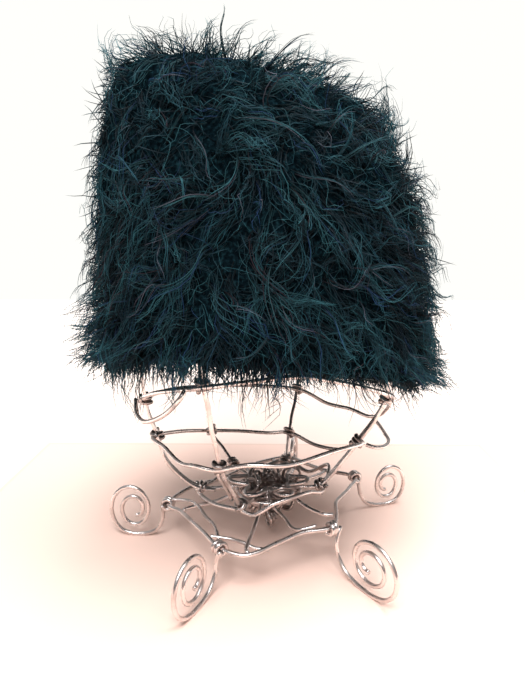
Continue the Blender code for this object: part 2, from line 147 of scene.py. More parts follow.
# Free points of the rings between the ribs: direction, radius and height
RINGS = {
    "ring_lower": [
        (164, 0.50, 0.30), (215, 0.54, 0.32), (258, 0.52, 0.33), (274, 0.51, 0.40),
        (292, 0.50, 0.43), (312, 0.48, 0.42), (330, 0.48, 0.37), (20, 0.56, 0.41),
        (44, 0.50, 0.30), (101, 0.42, 0.31),
    ],
    "ring_middle": [
        (160, 0.84, 0.63), (202, 0.87, 0.71), (217, 0.83, 0.67), (231, 0.83, 0.70),
        (260, 0.83, 0.77), (280, 0.82, 0.77), (305, 0.80, 0.80), (330, 0.80, 0.76),
        (6, 0.76, 0.60), (26, 0.70, 0.49), (48, 0.64, 0.47), (90, 0.68, 0.50),
        (112, 0.75, 0.51),
    ],
    "ring_upper": [
        (158, 0.99, 0.92), (203, 1.01, 1.06), (222, 1.01, 1.16), (262, 1.01, 1.29),
        (282, 1.02, 1.32), (306, 1.03, 1.23), (330, 1.02, 1.10), (3, 1.00, 0.89),
        (13, 0.99, 0.78), (24, 0.98, 0.72), (37, 0.95, 0.73), (52, 0.90, 0.74),
        (100, 0.90, 0.84),
    ],
}
BASE_RING = [
    (202, 0.90, 0.98), (215, 0.87, 0.96), (231, 0.91, 0.98), (257, 1.05, 0.93),
    (264, 1.01, 0.95), (271, 0.92, 0.98), (281, 0.83, 1.00), (293, 0.79, 1.03),
    (325, 0.77, 1.06), (341, 0.69, 1.08), (357, 0.74, 1.04), (9, 0.85, 1.05),
    (41, 0.84, 1.04), (59, 0.87, 1.00), (100, 0.78, 1.00), (121, 0.63, 1.03),
    (143, 0.64, 0.97), (167, 0.82, 0.98),
]
LEFT_LOOP = [
    (237, 1.07, 1.17), (231, 1.08, 1.08), (223, 1.08, 1.01), (214, 1.08, 0.965),
    (206, 1.08, 0.97), (201, 1.07, 1.01),
]
RIGHT_LOOP = [
    (351, 0.87, 0.655), (354, 0.95, 0.65), (0, 1.00, 0.655), (8, 1.01, 0.66), (16, 1.02, 0.68),
]
# Loose ends and braces near the base: the same columns as BASE_RING
BRACES = [
    [(280, 0.36, 1.10), (286.9, 0.509, 1.04), (288.7, 0.645, 0.98), (292.1, 0.732, 1.02), (302, 0.80, 1.13)],
    [(237, 0.93, 1.00), (247, 0.86, 0.95), (255.3, 0.875, 0.95), (263.1, 0.91, 0.90), (270, 0.93, 0.92)],
    [(190, 0.97, 1.08), (197.5, 0.76, 1.08), (217.7, 0.735, 1.00), (232, 0.78, 0.98), (244, 0.96, 0.92)],
]

# Ribs with a second wire laid beside them: name, the first and last share of
# the rib that it follows, and its side
PAIRED_RIBS = [("right", 0.16, 0.62, 1), ("left", 0.14, 0.36, 1), ("front_left", 0.20, 0.33, -1)]

# The hub's loose curls: how many, their wire, the reach of the low and high
# ones from the axis and their heights, turns and size
HUB_CURLS = 22
CURL_SEED = 5
CURL_WIRE_RADIUS = 0.0011
CURL_WIRE_SIDES = 6
CURL_STEPS = 14
LOW_CURLS = ((0.003, 0.0165), (0.014, 0.028))
HIGH_CURLS = ((0.003, 0.0225), (0.031, 0.042))
CURL_TURNS = (1.2, 2.4)
CURL_SIZE = (0.0052, 0.0088)

# Where the loose loops leave and meet their rings, as directions
LEFT_LOOP_ENDS = (238, 197)
RIGHT_LOOP_ENDS = (352, 24)

# Profile of the hat: height and radius as shares, sideways shift as a share
# of HAT_RADIUS. The last two rows are the flat of the crown.
HAT_PROFILE = [
    (0.00, 1.04, 0.00), (0.16, 1.005, -0.01), (0.34, 0.985, -0.02), (0.53, 0.955, -0.04),
    (0.71, 0.91, -0.06), (0.86, 0.83, -0.09), (0.96, 0.67, -0.12), (1.00, 0.46, -0.14),
    (1.00, 0.24, -0.14), (1.00, 0.00, -0.14),
]
CROWN_SHIFT = HAT_PROFILE[-1][2]
PROFILE_SAMPLES = 240

# How far up the profile the rings of the wall go, before one face closes them
CROWN_END = 0.985

# Pile
PILE_SEED = 11
CROWN_UNDER_COUNT = 600
ROOT_DEPTH = 0.0035
STRAND_LENGTH = 0.040
SIDE_ROOM = 0.03
CLOTH_ROOM = 0.0085
STAND_OFF = 0.0150
LEAST_STAND_OFF = 0.0015
CRIMP = 0.0007
DOWN = np.array((0.0, 0.0, -1.0))

# The crown: where its extra short strands start, as a share up the profile, how
# much painted light lightens it, and the level where the side ends
CROWN_SHARE = 0.62
CROWN_PAINTED_LIGHT = 0.21
SIDE_TOP = 0.86

# What each kind of strand is like: how many locks or strands there are, points
# along one, the range of its length as a share (for the last three in metres),
# the range of its radius, its middle tone and how far tones spread, how unevenly
# it lies, size and turns of its curls and of its waves; then strands to a lock,
# the lock's width, and the range of its strands' lengths as shares of its own
Kind = namedtuple("Kind", "count points lengths radii tone jitter curls waves strands width own",
                  defaults=(None,) * 6)
UNDER = Kind(2200, 5, (0.35, 0.60), (0.00034, 0.00052), (0.16, 0.09), 1.6, None, (0.0012, 0.8))
LOCKS = Kind(1350, 9, (0.75, 1.20), (0.00019, 0.00034), (0.31, 0.12), 1.25, (0.19, 1.25), (0.0018, 1.8),
             8, 0.0032, (0.58, 1.10))
FREE = Kind(2120, 11, (0.60, 1.05), (0.00015, 0.00026), (0.61, 0.12), 1.5, (0.24, 1.6), (0.0020, 2.2))
TUFTS = Kind(410, 10, (0.80, 1.15), (0.00022, 0.00036), (0.50, 0.10), 1.1, (0.26, 0.9), (0.0006, 1.3),
             4, 0.0013, (0.72, 1.05))
FLARED = Kind(60, 9, (0.020, 0.038), (0.00020, 0.00034), (0.42, 0.10), None, (0.12, 1.0), (0.0011, 1.4),
              8, 0.0030, (0.60, 1.08))
FRINGE = Kind(560, 8, (0.006, 0.020), (0.00020, 0.00034), (0.28, 0.0), None, (0.14, 0.9))
RIM = Kind(1300, 5, (0.004, 0.010), (0.00034, 0.00052), (0.22, 0.10))

# Grey strands among the tufts as a share, and how far a tuft is gathered
TUFT_GREY = 0.16
TUFT_GATHER = (0.92, 0.7)
FLARE_GATHER = (0.8, 0.8)



# Small helpers

NOISE_WAVES = 7


def skin_faces(rows, sides, closed=False):
    """Faces between rings of this many sides, each joined to the one after it."""
    faces = []
    for row in range(rows if closed else rows - 1):
        below = row * sides
        above = (row + 1) % rows * sides
        for side in range(sides):
            after = (side + 1) % sides
            faces.append((below + side, below + after, above + after, above + side))
    return faces


def polar(degrees, radius, height):
    angle = math.radians(degrees)
    return np.array((radius * math.cos(angle), radius * math.sin(angle), height))


def unit(vectors):
    lengths = np.linalg.norm(vectors, axis=-1, keepdims=True)
    return vectors / np.maximum(lengths, 1e-12)


def outward(point):
    return unit(np.array((point[0], point[1], 0.0)))


def smooth_path(points, steps, closed=False):
    """A Catmull-Rom path through every point, steps to a span."""
    points = [np.asarray(point, float) for point in points]
    count = len(points)
    spans = count if closed else count - 1
    path = []
    for index in range(spans):
        if closed:
            a, b, c, d = (points[(index + shift) % count] for shift in (-1, 0, 1, 2))
        else:
            a = points[max(index - 1, 0)]
            b = points[index]
            c = points[index + 1]
            d = points[min(index + 2, count - 1)]
        for step in range(steps):
            t = step / steps
            path.append(0.5 * (2 * b + (c - a) * t + (2 * a - 5 * b + 4 * c - d) * t * t
                               + (3 * b - a - 3 * c + d) * t ** 3))
    if not closed:
        path.append(points[-1])
    return np.array(path)


def direction_of(point):
    return math.degrees(math.atan2(point[1], point[0])) % 360


def nearest_index(path, degrees):
    turns = (np.degrees(np.arctan2(path[:, 1], path[:, 0])) - degrees + 180) % 360 - 180
    return int(np.argmin(np.abs(turns)))


def mesh_object(name, vertices, faces, material, smooth=True):
    mesh = bpy.data.meshes.new(name)
    mesh.from_pydata(vertices, [], faces)
    mesh.materials.append(material)
    if smooth:
        mesh.shade_smooth()
    piece = bpy.data.objects.new(name, mesh)
    bpy.context.scene.collection.objects.link(piece)
    return piece


def smooth_noise(points, scale, seed):
    """A soft random field from -1 to 1, made of a few seeded sine waves."""
    rng = np.random.default_rng(seed)
    total = np.zeros(len(points))
    for _ in range(NOISE_WAVES):
        direction = unit(rng.normal(size=3)) * rng.uniform(0.6, 1.5) * 2 * math.pi / scale
        total += np.sin(points @ direction + rng.uniform(0, 2 * math.pi))
    return np.tanh(total / math.sqrt(NOISE_WAVES) * 1.2)


# Materials

# Grain of the materials, in patches to a metre
WIRE_PATCHES = 90.0
WIRE_DENTS = 260.0
ROOT_CLUMPS = 420.0
WOOL_FUZZ = 900.0


def new_material(name):
    material = bpy.data.materials.new(name)
    material.use_nodes = True
    return material, material.node_tree, material.node_tree.nodes["Principled BSDF"]


def feed(tree, node, inputs):
    """Sets a node's inputs, or links those that are given another node's output."""
    for name, value in inputs.items():
        if isinstance(value, bpy.types.NodeSocket):
            tree.links.new(value, node.inputs[name])
        else:
            node.inputs[name].default_value = value


def add(tree, kind, inputs=None, **settings):
    node = tree.nodes.new("ShaderNode" + kind)
    for name, value in settings.items():
        setattr(node, name, value)
    feed(tree, node, inputs or {})
    return node


def ramp(tree, source, stops):
    """The colour at a place between these stops."""
    node = add(tree, "ValToRGB", {"Fac": source})
    elements = node.color_ramp.elements
    while len(elements) < len(stops):
        elements.new(0.5)
    for element, (place, colour) in zip(elements, stops):
        element.position = place
        element.color = (*colour, 1.0)
    return node.outputs["Color"]


def noise(tree, scale, detail=3.0):
    where = add(tree, "TexCoord")
    node = add(tree, "TexNoise", {"Vector": where.outputs["Object"], "Scale": scale, "Detail": detail})
    return node.outputs["Fac"]


def bump(tree, height, strength, distance):
    node = add(tree, "Bump", {"Height": height, "Strength": strength, "Distance": distance})
    return node.outputs["Normal"]


def multiply(tree, first, second):
    inputs = {"Factor": 1.0, "A": first, "B": second}
    return add(tree, "Mix", inputs, data_type="RGBA", blend_type="MULTIPLY").outputs["Result"]


def compute(tree, operation, *values):
    return add(tree, "Math", dict(enumerate(values)), operation=operation).outputs["Value"]


def stretch(tree, source, low, high, interpolation="LINEAR"):
    """Maps the range from low to high to 0 to 1."""
    node = add(tree, "MapRange", {"Value": source, "From Min": low, "From Max": high},
               interpolation_type=interpolation)
    return node.outputs["Result"]


def wire_material(name, shades):
    """Bright soft aluminium craft wire, a little dull and scratched by bending."""
    material, tree, shader = new_material(name)
    patches = noise(tree, WIRE_PATCHES)
    feed(tree, shader, {
        "Metallic": 1.0,
        "Base Color": ramp(tree, patches, list(zip((0.30, 0.55, 0.75), shades))),
        "Roughness": ramp(tree, patches, [(0.30, (0.34,) * 3), (0.70, (0.22,) * 3)]),
        "Normal": bump(tree, noise(tree, WIRE_DENTS, 1.5), 0.12, 0.0004),
    })
    return material


def pile_material():
    """Dyed mohair: the hue comes from each strand's tone, with painted shade that is darkest at the root and
    lightest at the tip.
    """
    material, tree, shader = new_material("teal_pile")
    where = add(tree, "UVMap", uv_map="strand")
    split = add(tree, "SeparateXYZ", {"Vector": where.outputs["UV"]})
    tone = ramp(tree, split.outputs["X"], [
        (0.00, (0.0030, 0.0078, 0.0125)),
        (0.18, (0.0060, 0.0190, 0.0275)),
        (0.36, (0.0095, 0.0360, 0.0500)),
        (0.54, (0.0150, 0.0620, 0.0800)),
        (0.70, (0.0280, 0.1020, 0.1220)),
        (0.75, (0.0320, 0.1080, 0.1280)),
        (0.77, (0.0120, 0.0340, 0.0800)),
        (0.84, (0.0160, 0.0450, 0.1150)),
        (0.87, (0.0600, 0.0660, 0.0900)),
        (0.93, (0.0900, 0.0960, 0.1250)),
        (0.96, (0.0300, 0.0190, 0.0280)),
        (1.00, (0.0400, 0.0260, 0.0340)),
    ])
    # Painted shade along each strand: darkest at the root, deep in the pile, lightest at the tip.
    along = ramp(tree, split.outputs["Y"], [
        (0.00, (0.12,) * 3), (0.35, (0.50,) * 3), (0.75, (1.0,) * 3), (1.00, (1.35,) * 3),
    ])
    feed(tree, shader, {
        "Base Color": multiply(tree, tone, along),
        "Roughness": 0.55,
        "Specular IOR Level": 0.10,
    })
    return material


def painted_shade_backing_material():
    """Matted roots under the pile, near-black: painted shade deep between the locks."""
    material, tree, shader = new_material("matted_roots_painted_shade")
    clumps = noise(tree, ROOT_CLUMPS, 6.0)
    feed(tree, shader, {
        # Near-black painted shade, patchy with the clumps.
        "Base Color": ramp(tree, clumps, [
            (0.36, (0.0012, 0.0030, 0.0045)),
            (0.52, (0.0026, 0.0078, 0.0110)),
            (0.66, (0.0068, 0.0230, 0.0300)),
        ]),
        "Normal": bump(tree, clumps, 0.8, 0.003),
        "Roughness": 1.0,
        "Specular IOR Level": 0.0,
    })
    return material


def knit_material():
    """Dark teal wool of the knitted wall, fuzzy between the stitches."""
    material, tree, shader = new_material("dark_knit")
    fuzz = noise(tree, WOOL_FUZZ, 6.0)
    feed(tree, shader, {
        "Base Color": ramp(tree, fuzz, [(0.35, (0.004, 0.012, 0.014)), (0.65, (0.014, 0.045, 0.052))]),
        "Normal": bump(tree, fuzz, 0.6, 0.0008),
        "Roughness": 0.95,
    })
    return material


# The hat's form


def profile_curve():
    """Evenly spaced samples of the profile: height, radius, shift and normal."""
    rows = np.array(HAT_PROFILE)
    places = np.column_stack([rows[:, 0] * HAT_HEIGHT, rows[:, 1] * HAT_RADIUS, rows[:, 2] * HAT_RADIUS])
    fine = smooth_path(places, 16)
    steps = np.linalg.norm(np.diff(fine[:, :2], axis=0), axis=1)
    length = np.concatenate([[0.0], np.cumsum(steps)])
    wanted = np.linspace(0.0, length[-1], PROFILE_SAMPLES)
    even = np.column_stack([np.interp(wanted, length, fine[:, column]) for column in range(3)])
    even[:, 0] = np.minimum(even[:, 0], HAT_HEIGHT)
    along = unit(np.gradient(even[:, :2], axis=0))
    normal = np.column_stack([-along[:, 1], along[:, 0]])
    return wanted / length[-1], even, normal


PROFILE_AT, PROFILE, PROFILE_NORMAL = profile_curve()


def on_hat(share, angle, offset):
    """Points of the hat's form, moved off its outer face by the offset."""
    height, radius, shift = (np.interp(share, PROFILE_AT, column) for column in PROFILE.T)
    normal_height, normal_radius = (np.interp(share, PROFILE_AT, column) for column in PROFILE_NORMAL.T)
    level = np.clip(height / HAT_HEIGHT, 0.0, 1.0)
    radius = radius + normal_radius * offset
    height = height + normal_height * offset
    x = HAT_CENTRE_X + shift + radius * np.cos(angle)
    y = radius * np.sin(angle)
    slope_x = RIM_SLOPE_X + (TOP_SLOPE_X - RIM_SLOPE_X) * level
    slope_y = RIM_SLOPE_Y + (TOP_SLOPE_Y - RIM_SLOPE_Y) * level
    z = RIM_HEIGHT + height + slope_x * x + slope_y * y
    return np.stack([x, y, z], axis=-1) + SHIFT


def hat_frame(share, angle, offset):
    """Position, outward normal and the level way round at points of the form."""
    small = 1e-3
    here = on_hat(share, angle, offset)
    above = on_hat(np.minimum(share + small, 1.0), angle, offset)
    below = on_hat(np.maximum(share - small, 0.0), angle, offset)
    up = unit(above - below)
    around = unit(np.stack([-np.sin(angle), np.cos(angle), np.zeros_like(angle)], axis=-1))
    normal = unit(np.cross(around, up))
    return here, normal, around


def level_at(share):
    return np.interp(share, PROFILE_AT, PROFILE[:, 0]) / HAT_HEIGHT


# The knitted wall and the backing of the pile


def revolve(rows, sides, offset_of):
    """Vertices and faces of an open skin over the hat's form."""
    angles = np.linspace(0, 2 * math.pi, sides, endpoint=False)
    rings = []
    for share in np.linspace(0.0, CROWN_END, rows):
        shares = np.full(sides, share)
        rings.append(on_hat(shares, angles, offset_of(shares, angles)))
    return np.concatenate(rings), skin_faces(rows, sides)


def double_wall(name, outer_offset, inner_offset, rows, sides, material):
    """A wall with an outer and an inner face, joined at the rim, closed at the crown."""
    outer, outer_faces = revolve(rows[0], sides, outer_offset)
    inner, inner_faces = revolve(rows[1], sides, inner_offset)
    count = len(outer)
    faces = outer_faces + [tuple(count + index for index in reversed(face)) for face in inner_faces]
    for side in range(sides):
        after = (side + 1) % sides
        faces.append((after, side, count + side, count + after))
    top = count - sides
    faces.append(tuple(top + side for side in range(sides)))
    top = count + len(inner) - sides
    faces.append(tuple(top + side for side in reversed(range(sides))))
    return mesh_object(name, np.concatenate([outer, inner]), faces, material)


STITCH_COLUMNS = 60
STITCH_ROWS = 37
STITCH_DEPTH = 0.00035
KNIT_ROWS = (10, 74)
KNIT_OUTSIDE = -0.0002
BACKING_ROWS = (64, 8)
BACKING_SIDES = 96
BACKING_INSIDE = 0.0003
BACKING_EDGE = 0.0010
BACKING_DEPTH = 0.0034


def knit_relief(share, angle):
    """Columns of V stitches, as a height of up to 0.7 mm."""
    column = angle / (2 * math.pi) * STITCH_COLUMNS
    across = np.abs(np.mod(column, 1.0) - 0.5) * 2
    row = share * STITCH_ROWS + across * 0.6
    return STITCH_DEPTH * (np.sin(row * 2 * math.pi) + np.cos(across * math.pi * 2) * 0.9)


def make_knit_wall(material):
    def outer(share, angle):
        return KNIT_OUTSIDE

    def inner(share, angle):
        return -WALL_THICKNESS + knit_relief(share, angle) * np.clip(share * 60, 0, 1)

    wall = double_wall("hat_knit_wall", outer, inner, KNIT_ROWS, STITCH_COLUMNS * 4, material)
    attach(wall, "root")
    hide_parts("knit_wall")


def make_backing(material):
    def outer(share, angle):
        places = on_hat(share, angle, np.zeros_like(share))
        lumps = smooth_noise(places, 0.022, 5) * 0.0010 + smooth_noise(places, 0.009, 6) * 0.0006
        rim = np.clip(share / 0.03, 0, 1)
        return BACKING_EDGE + (BACKING_DEPTH + lumps) * rim ** 0.5 + swell_at(share, angle)

    def inner(share, angle):
        return BACKING_INSIDE

    backing = double_wall("pile_backing", outer, inner, BACKING_ROWS, BACKING_SIDES, material)
    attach(backing, "root")
    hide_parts("fur_pile")


# The pile

# The plastic number, whose powers scatter points evenly
PLASTIC = 1.32471795724


def even_roots(count, rng, low=0.0, high=1.0):
    """Evenly scattered places on the form: share up the profile, and angle."""
    samples = np.linspace(low, high, 400)
    weight = np.interp(samples, PROFILE_AT, PROFILE[:, 1])
    total = np.concatenate([[0.0], np.cumsum((weight[1:] + weight[:-1]) / 2)])
    index = np.arange(count)
    first = np.mod(0.5 + index / PLASTIC, 1.0)
    second = np.mod(0.5 + index / PLASTIC ** 2, 1.0)
    share = np.interp(first * total[-1], total, samples)
    angle = second * 2 * math.pi
    share = np.clip(share + rng.normal(0, 0.008, count), low, high)
    return share, angle + rng.normal(0, 0.02, count)


# How the pile lies: level, then how much of a strand's first and last way
# stands off the form, how far it runs down it, how far sideways, its length
FLOW = np.array([
    (0.00, 0.42, 0.05, 1.00, 0.50, 0.38),
    (0.10, 0.42, 0.00, 0.90, 0.60, 0.64),
    (0.25, 0.42, -0.02, 0.85, 0.60, 0.98),
    (0.45, 0.42, -0.02, 0.70, 0.65, 1.00),
    (0.70, 0.44, 0.02, 0.45, 0.80, 0.95),
    (0.86, 0.46, 0.06, 0.35, 0.75, 0.80),
    (1.00, 0.62, 0.22, 0.45, 0.45, 0.58),
])
PARTING = math.radians(250)

# How far the pile stands off on each side: direction in degrees, then a
# factor near the rim, one at the shoulder and one on the crown
SIDE_DEPTH = np.array([
    (-90, 1.00, 1.00, 0.90), (-40, 1.70, 2.45, 0.50), (0, 1.70, 2.70, 0.42), (60, 1.10, 1.20, 0.50),
    (95, 1.05, 1.00, 0.68), (130, 1.00, 0.90, 1.15), (180, 1.60, 0.95, 0.70), (215, 1.60, 0.90, 0.70),
    (270, 1.00, 1.00, 0.90),
])
DEPTH_LEVELS = (0.05, 0.72, 0.97)

# Corners where the pile is brushed out: direction and its spread in degrees,
# then the first and last way the locks grow
FLARES = [
    (-12.0, 12.0, (0.8, -0.3, 0.1), (0.75, -0.25, -0.65)),
    (200.0, 12.0, (-0.8, -0.3, 0.1), (-0.75, -0.25, -0.75)),
]

# Where the pile hangs longer or shorter over the rim: direction in degrees
# and a factor on the length there
RIM_LENGTH = np.array([
    (-90, 1.90), (-76, 1.10), (-58, 0.20), (-30, 0.30), (-12, 0.95), (20, 1.00), (120, 1.00),
    (180, 1.75), (215, 2.15), (250, 2.05), (270, 1.90),
])
RIM_LEVEL = 0.16

# Where the pile is thicker at its roots: direction in degrees and metres, and
# how much of it is there at each level
SWELL = np.array([
    (-90, 0.0000), (-55, 0.0030), (-28, 0.0078), (20, 0.0078), (60, 0.0020), (100, 0.0000),
    (150, 0.0042), (215, 0.0050), (250, 0.0014), (270, 0.0000),
])
SWELL_LEVELS = np.array([
    (0.0, 0.3), (0.12, 1.0), (0.45, 1.15), (0.66, 1.15), (0.80, 0.90), (0.92, 1.30), (1.0, 0.35),
])


def side_degrees(angle):
    return (np.degrees(angle) + 90) % 360 - 90


def at_side(table, angle, column=1):
    return np.interp(side_degrees(angle), table[:, 0], table[:, column])


def rim_length(share, angle):
    return 1 + (at_side(RIM_LENGTH, angle) - 1) * np.clip(1 - level_at(share) / RIM_LEVEL, 0, 1)


def swell_at(share, angle):
    return at_side(SWELL, angle) * np.interp(level_at(share), SWELL_LEVELS[:, 0], SWELL_LEVELS[:, 1])


def flow_at(share, column):
    return np.interp(level_at(share), FLOW[:, 0], FLOW[:, column])[:, None]


def depth_at(share, angle):
    rim, shoulder, crown = (at_side(SIDE_DEPTH, angle, column) for column in (1, 2, 3))
    low, middle, high = DEPTH_LEVELS
    level = level_at(share)
    first = np.clip((level - low) / (middle - low), 0, 1)
    second = np.clip((level - middle) / (high - middle), 0, 1)
    return (rim + (shoulder - rim) * first + (crown - shoulder) * second)[:, None]


def arc(first, last, length, times):
    """Path from the origin that turns evenly from the first to the last way."""
    turn = times[None, :, None] ** 2 / 2
    start = times[None, :, None] - turn
    return length[:, None, None] * (first[:, None, :] * start + last[:, None, :] * turn) * 1.15


def curl(first, last, length, times, rng, amount, turns):
    """Waves and hooks of whole locks, square to the way they grow."""
    count = len(length)
    way = unit(first + last)
    side = unit(np.cross(way, rng.normal(size=way.shape)))
    other = np.cross(way, side)
    speed = rng.uniform(turns * 0.55, turns * 1.3, (count, 1)) * 2 * math.pi
    phase = rng.uniform(0, 2 * math.pi, (count, 1))
    size = (length * amount * rng.uniform(0.3, 1.0, count))[:, None]
    swing = (np.sin(speed * times[None, :] + phase) - np.sin(phase)) * size * times[None, :] ** 0.6
    lean = (np.cos(speed * times[None, :] + phase) - np.cos(phase)) * size * 0.5 * times[None, :] ** 0.6
    hook = size * 1.6 * times[None, :] ** 3.2
    return side[:, None, :] * (swing + hook)[:, :, None] + other[:, None, :] * lean[:, :, None]


def waves(count, times, rng, amplitude, turns):
    """Each strand's own waviness, growing towards its tip."""
    result = np.zeros((count, len(times), 3))
    for _ in range(2):
        way = unit(rng.normal(size=(count, 3)))
        phase = rng.uniform(0, 2 * math.pi, (count, 1))
        speed = rng.uniform(turns * 0.6, turns * 1.4, (count, 1)) * 2 * math.pi
        size = rng.uniform(0.4, 1.0, (count, 1)) * amplitude
        swing = (np.sin(speed * times[None, :] + phase) - np.sin(phase)) * size * times[None, :] ** 0.7
        result += way[:, None, :] * swing[:, :, None]
    return result


def keep_in_room(paths):
    """Shortens strands that would leave the room round the CAD box."""
    low, high = (np.array(corner) for corner in CAD_BOX)
    room = (high - low) * SIDE_ROOM + CLOTH_ROOM
    root = paths[:, :1, :]
    reach = paths - root
    before = (high + room - root[:, 0]) / np.maximum(reach.max(axis=1), 1e-9)
    behind = (root[:, 0] - (low - room)) / np.maximum(-reach.min(axis=1), 1e-9)
    factor = np.minimum(before, behind).min(axis=1)
    return root + reach * np.clip(factor, 0.0, 1.0)[:, None, None]


def room_at(share, angle, spread):
    """How far off the form each strand may stand."""
    return STAND_OFF * depth_at(share, angle)[:, 0] ** 0.8 * spread


def hug(paths, room):
    """Draws strands back to the form, so that they bend round it and stay outside."""
    room = room[:, None]
    x, y, z = np.moveaxis(paths - SHIFT, 2, 0)
    level = np.full(x.shape, 0.5)
    for _ in range(4):
        slope_x = RIM_SLOPE_X + (TOP_SLOPE_X - RIM_SLOPE_X) * level
        slope_y = RIM_SLOPE_Y + (TOP_SLOPE_Y - RIM_SLOPE_Y) * level
        height = z - RIM_HEIGHT - slope_x * x - slope_y * y
        level = np.clip(height / HAT_HEIGHT, 0.0, 1.0)
    side_height = np.clip(height, 0.0, SIDE_TOP * HAT_HEIGHT)
    radius = np.interp(side_height, PROFILE[:, 0], PROFILE[:, 1])
    shift = np.interp(side_height, PROFILE[:, 0], PROFILE[:, 2])
    across = x - HAT_CENTRE_X - shift
    distance = np.maximum(np.hypot(across, y), 1e-6)
    excess = distance - radius
    kept = np.where(excess > 0, room * np.tanh(excess / room), excess)
    beside = (height > 0.0) & (height < SIDE_TOP * HAT_HEIGHT)
    kept = np.where(beside, np.maximum(kept, LEAST_STAND_OFF), kept)
    factor = (radius + kept) / distance
    above = np.maximum(height - HAT_HEIGHT, 0.0)
    headroom = 1.8 * room
    lowered = above - headroom * np.tanh(above / headroom)
    x = HAT_CENTRE_X + shift + across * factor
    return np.stack([x, y * factor, z - lowered], axis=2) + SHIFT


def strands_mesh(name, paths, radius, tone, material, taper=0.75, sides=3):
    """Closed tapered strands as one mesh, with a map of tone and length."""
    count, rings, _ = paths.shape
    rings -= 1
    tangents = unit(np.gradient(paths, axis=1))
    reference = unit(np.cross(tangents[:, 0], tangents[:, -1] + 0.31))[:, None, :]
    side = unit(np.cross(tangents, np.broadcast_to(reference, tangents.shape)))
    other = np.cross(tangents, side)
    times = np.linspace(0, 1, rings + 1)
    thickness = radius[:, None] * (1 - times[None, :] ** 1.4 * taper)
    angles = np.arange(sides) * 2 * math.pi / sides
    ring = (side[:, :, None, :] * np.cos(angles)[None, None, :, None]
            + other[:, :, None, :] * np.sin(angles)[None, None, :, None])
    tube = paths[:, :rings, None, :] + ring[:, :rings] * thickness[:, :rings, None, None]
    block = rings * sides + 1
    vertices = np.concatenate([tube.reshape(count, rings * sides, 3), paths[:, -1:, :]], axis=1)
    faces = []
    for a, b, c, d in skin_faces(rings, sides):
        faces += [(a, b, c), (a, c, d)]
    last = (rings - 1) * sides
    for corner in range(sides):
        faces.append((last + corner, last + (corner + 1) % sides, block - 1))
    faces.append(tuple(reversed(range(sides))))
    faces = np.array(faces)
    every = (faces[None, :, :] + (np.arange(count) * block)[:, None, None]).reshape(-1, 3)
    piece = mesh_object(name, vertices.reshape(-1, 3), every, material)
    across = np.concatenate([np.tile(np.linspace(-0.004, 0.004, sides), rings), [0.0]])
    # The share along each strand, which sets its painted shade from root to tip.
    along = np.concatenate([np.repeat(times[:rings], sides), [1.0]])
    place = np.empty((count, block, 2))
    place[:, :, 0] = np.clip(tone[:, None], 0.006, 0.994) + across[None, :]
    place[:, :, 1] = 0.003 + 0.994 * along[None, :]
    corners = place.reshape(-1, 2)[every.reshape(-1)].astype(np.float32)
    for layer_name in ("strand", "OFBake"):
        layer = piece.data.uv_layers.new(name=layer_name)
        layer.uv.foreach_set("vector", corners.ravel())
    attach(piece, "root")
    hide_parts("fur_pile")


def tones(count, rng, base, grey=0.015):
    """Each strand's tone: its lock's, shifted by its own; a few are blue, grey or plum."""
    tone = np.clip(base + rng.normal(0, 0.13, count), 0.0, 0.72)
    odd = rng.random(count)
    tone = np.where(odd > 0.945 - grey, rng.uniform(0.76, 0.84, count), tone)
    return np.where(odd > 1 - grey, rng.uniform(0.88, 1.0, count), tone)


def crown_painted_light(share):
    """Painted light: how much lighter the pile is made towards the crown, where the light from above falls.
    """
    return CROWN_PAINTED_LIGHT * np.clip((level_at(share) - 0.80) / 0.15, 0, 1)


def sector_masks(share, angle):
    """Which locks grow on the crown, and which on each quarter of the side."""
    crown = level_at(share) > 0.93
    quarter = (np.degrees(angle) + 45) % 360 // 90
    quarters = (("front", 3), ("right", 0), ("back", 1), ("left", 2))
    return [("crown", crown)] + [(name, ~crown & (quarter == number)) for name, number in quarters]


def grow(kind, share, angle, depth, rng):
    """Roots of this kind of strand, the ways they grow and their lengths."""
    places, normal, around = hat_frame(share, angle, depth + swell_at(share, angle))
    count, jitter = len(share), kind.jitter
    swirl = smooth_noise(places, 0.085, 21)[:, None] * 0.60 + smooth_noise(places, 0.030, 22)[:, None] * 0.80
    lift = smooth_noise(places, 0.040, 23)[:, None] * 0.70
    down = np.cross(around, normal)
    sweep = np.sin(angle - PARTING)[:, None] * flow_at(share, 4)
    depth = depth_at(share, angle)
    lay = unit(down * (flow_at(share, 3) - lift * 0.6) + around * (sweep + swirl)
               + jitter * rng.normal(size=places.shape) * 0.36)
    stand = flow_at(share, 1) * depth * (1 + 0.35 * jitter * rng.normal(size=(count, 1)))
    first = unit(lay * 0.9 + normal * np.maximum(stand, 0.12)
                 + jitter * 0.12 * rng.normal(size=places.shape))
    last = unit(lay + normal * (flow_at(share, 2) * depth + jitter * 0.12 * rng.normal(size=(count, 1))))
    length = STRAND_LENGTH * flow_at(share, 5)[:, 0] * rim_length(share, angle)
    length = length * rng.uniform(*kind.lengths, count)
    return places, normal, first, last, length


def bend(kind, first, last, length, rng):
    """Shares along a curled lock, and its path from the origin."""
    times = np.linspace(0, 1, kind.points)
    return times, arc(first, last, length, times) + curl(first, last, length, times, rng, *kind.curls)


def bunch(kind, gather, places, lock_arc, times, rng):
    """The locks' strands, which run together towards the tip, and the lock of each."""
    owner = np.repeat(np.arange(len(places)), kind.strands)
    count = len(owner)
    amount, power = gather
    spread = rng.normal(0, kind.width, (count, 1, 3)) * (1 - amount * times ** power)[None, :, None]
    paths = places[owner][:, None, :] + spread + lock_arc[owner] * rng.uniform(*kind.own, (count, 1, 1))
    return paths + waves(count, times, rng, *kind.waves), owner


def settle(paths, room, times, rng, crimp, turns):
    """Strands drawn back to the form, crimped, and kept in the room they have."""
    return keep_in_room(hug(paths, room) + waves(len(paths), times, rng, crimp, turns))


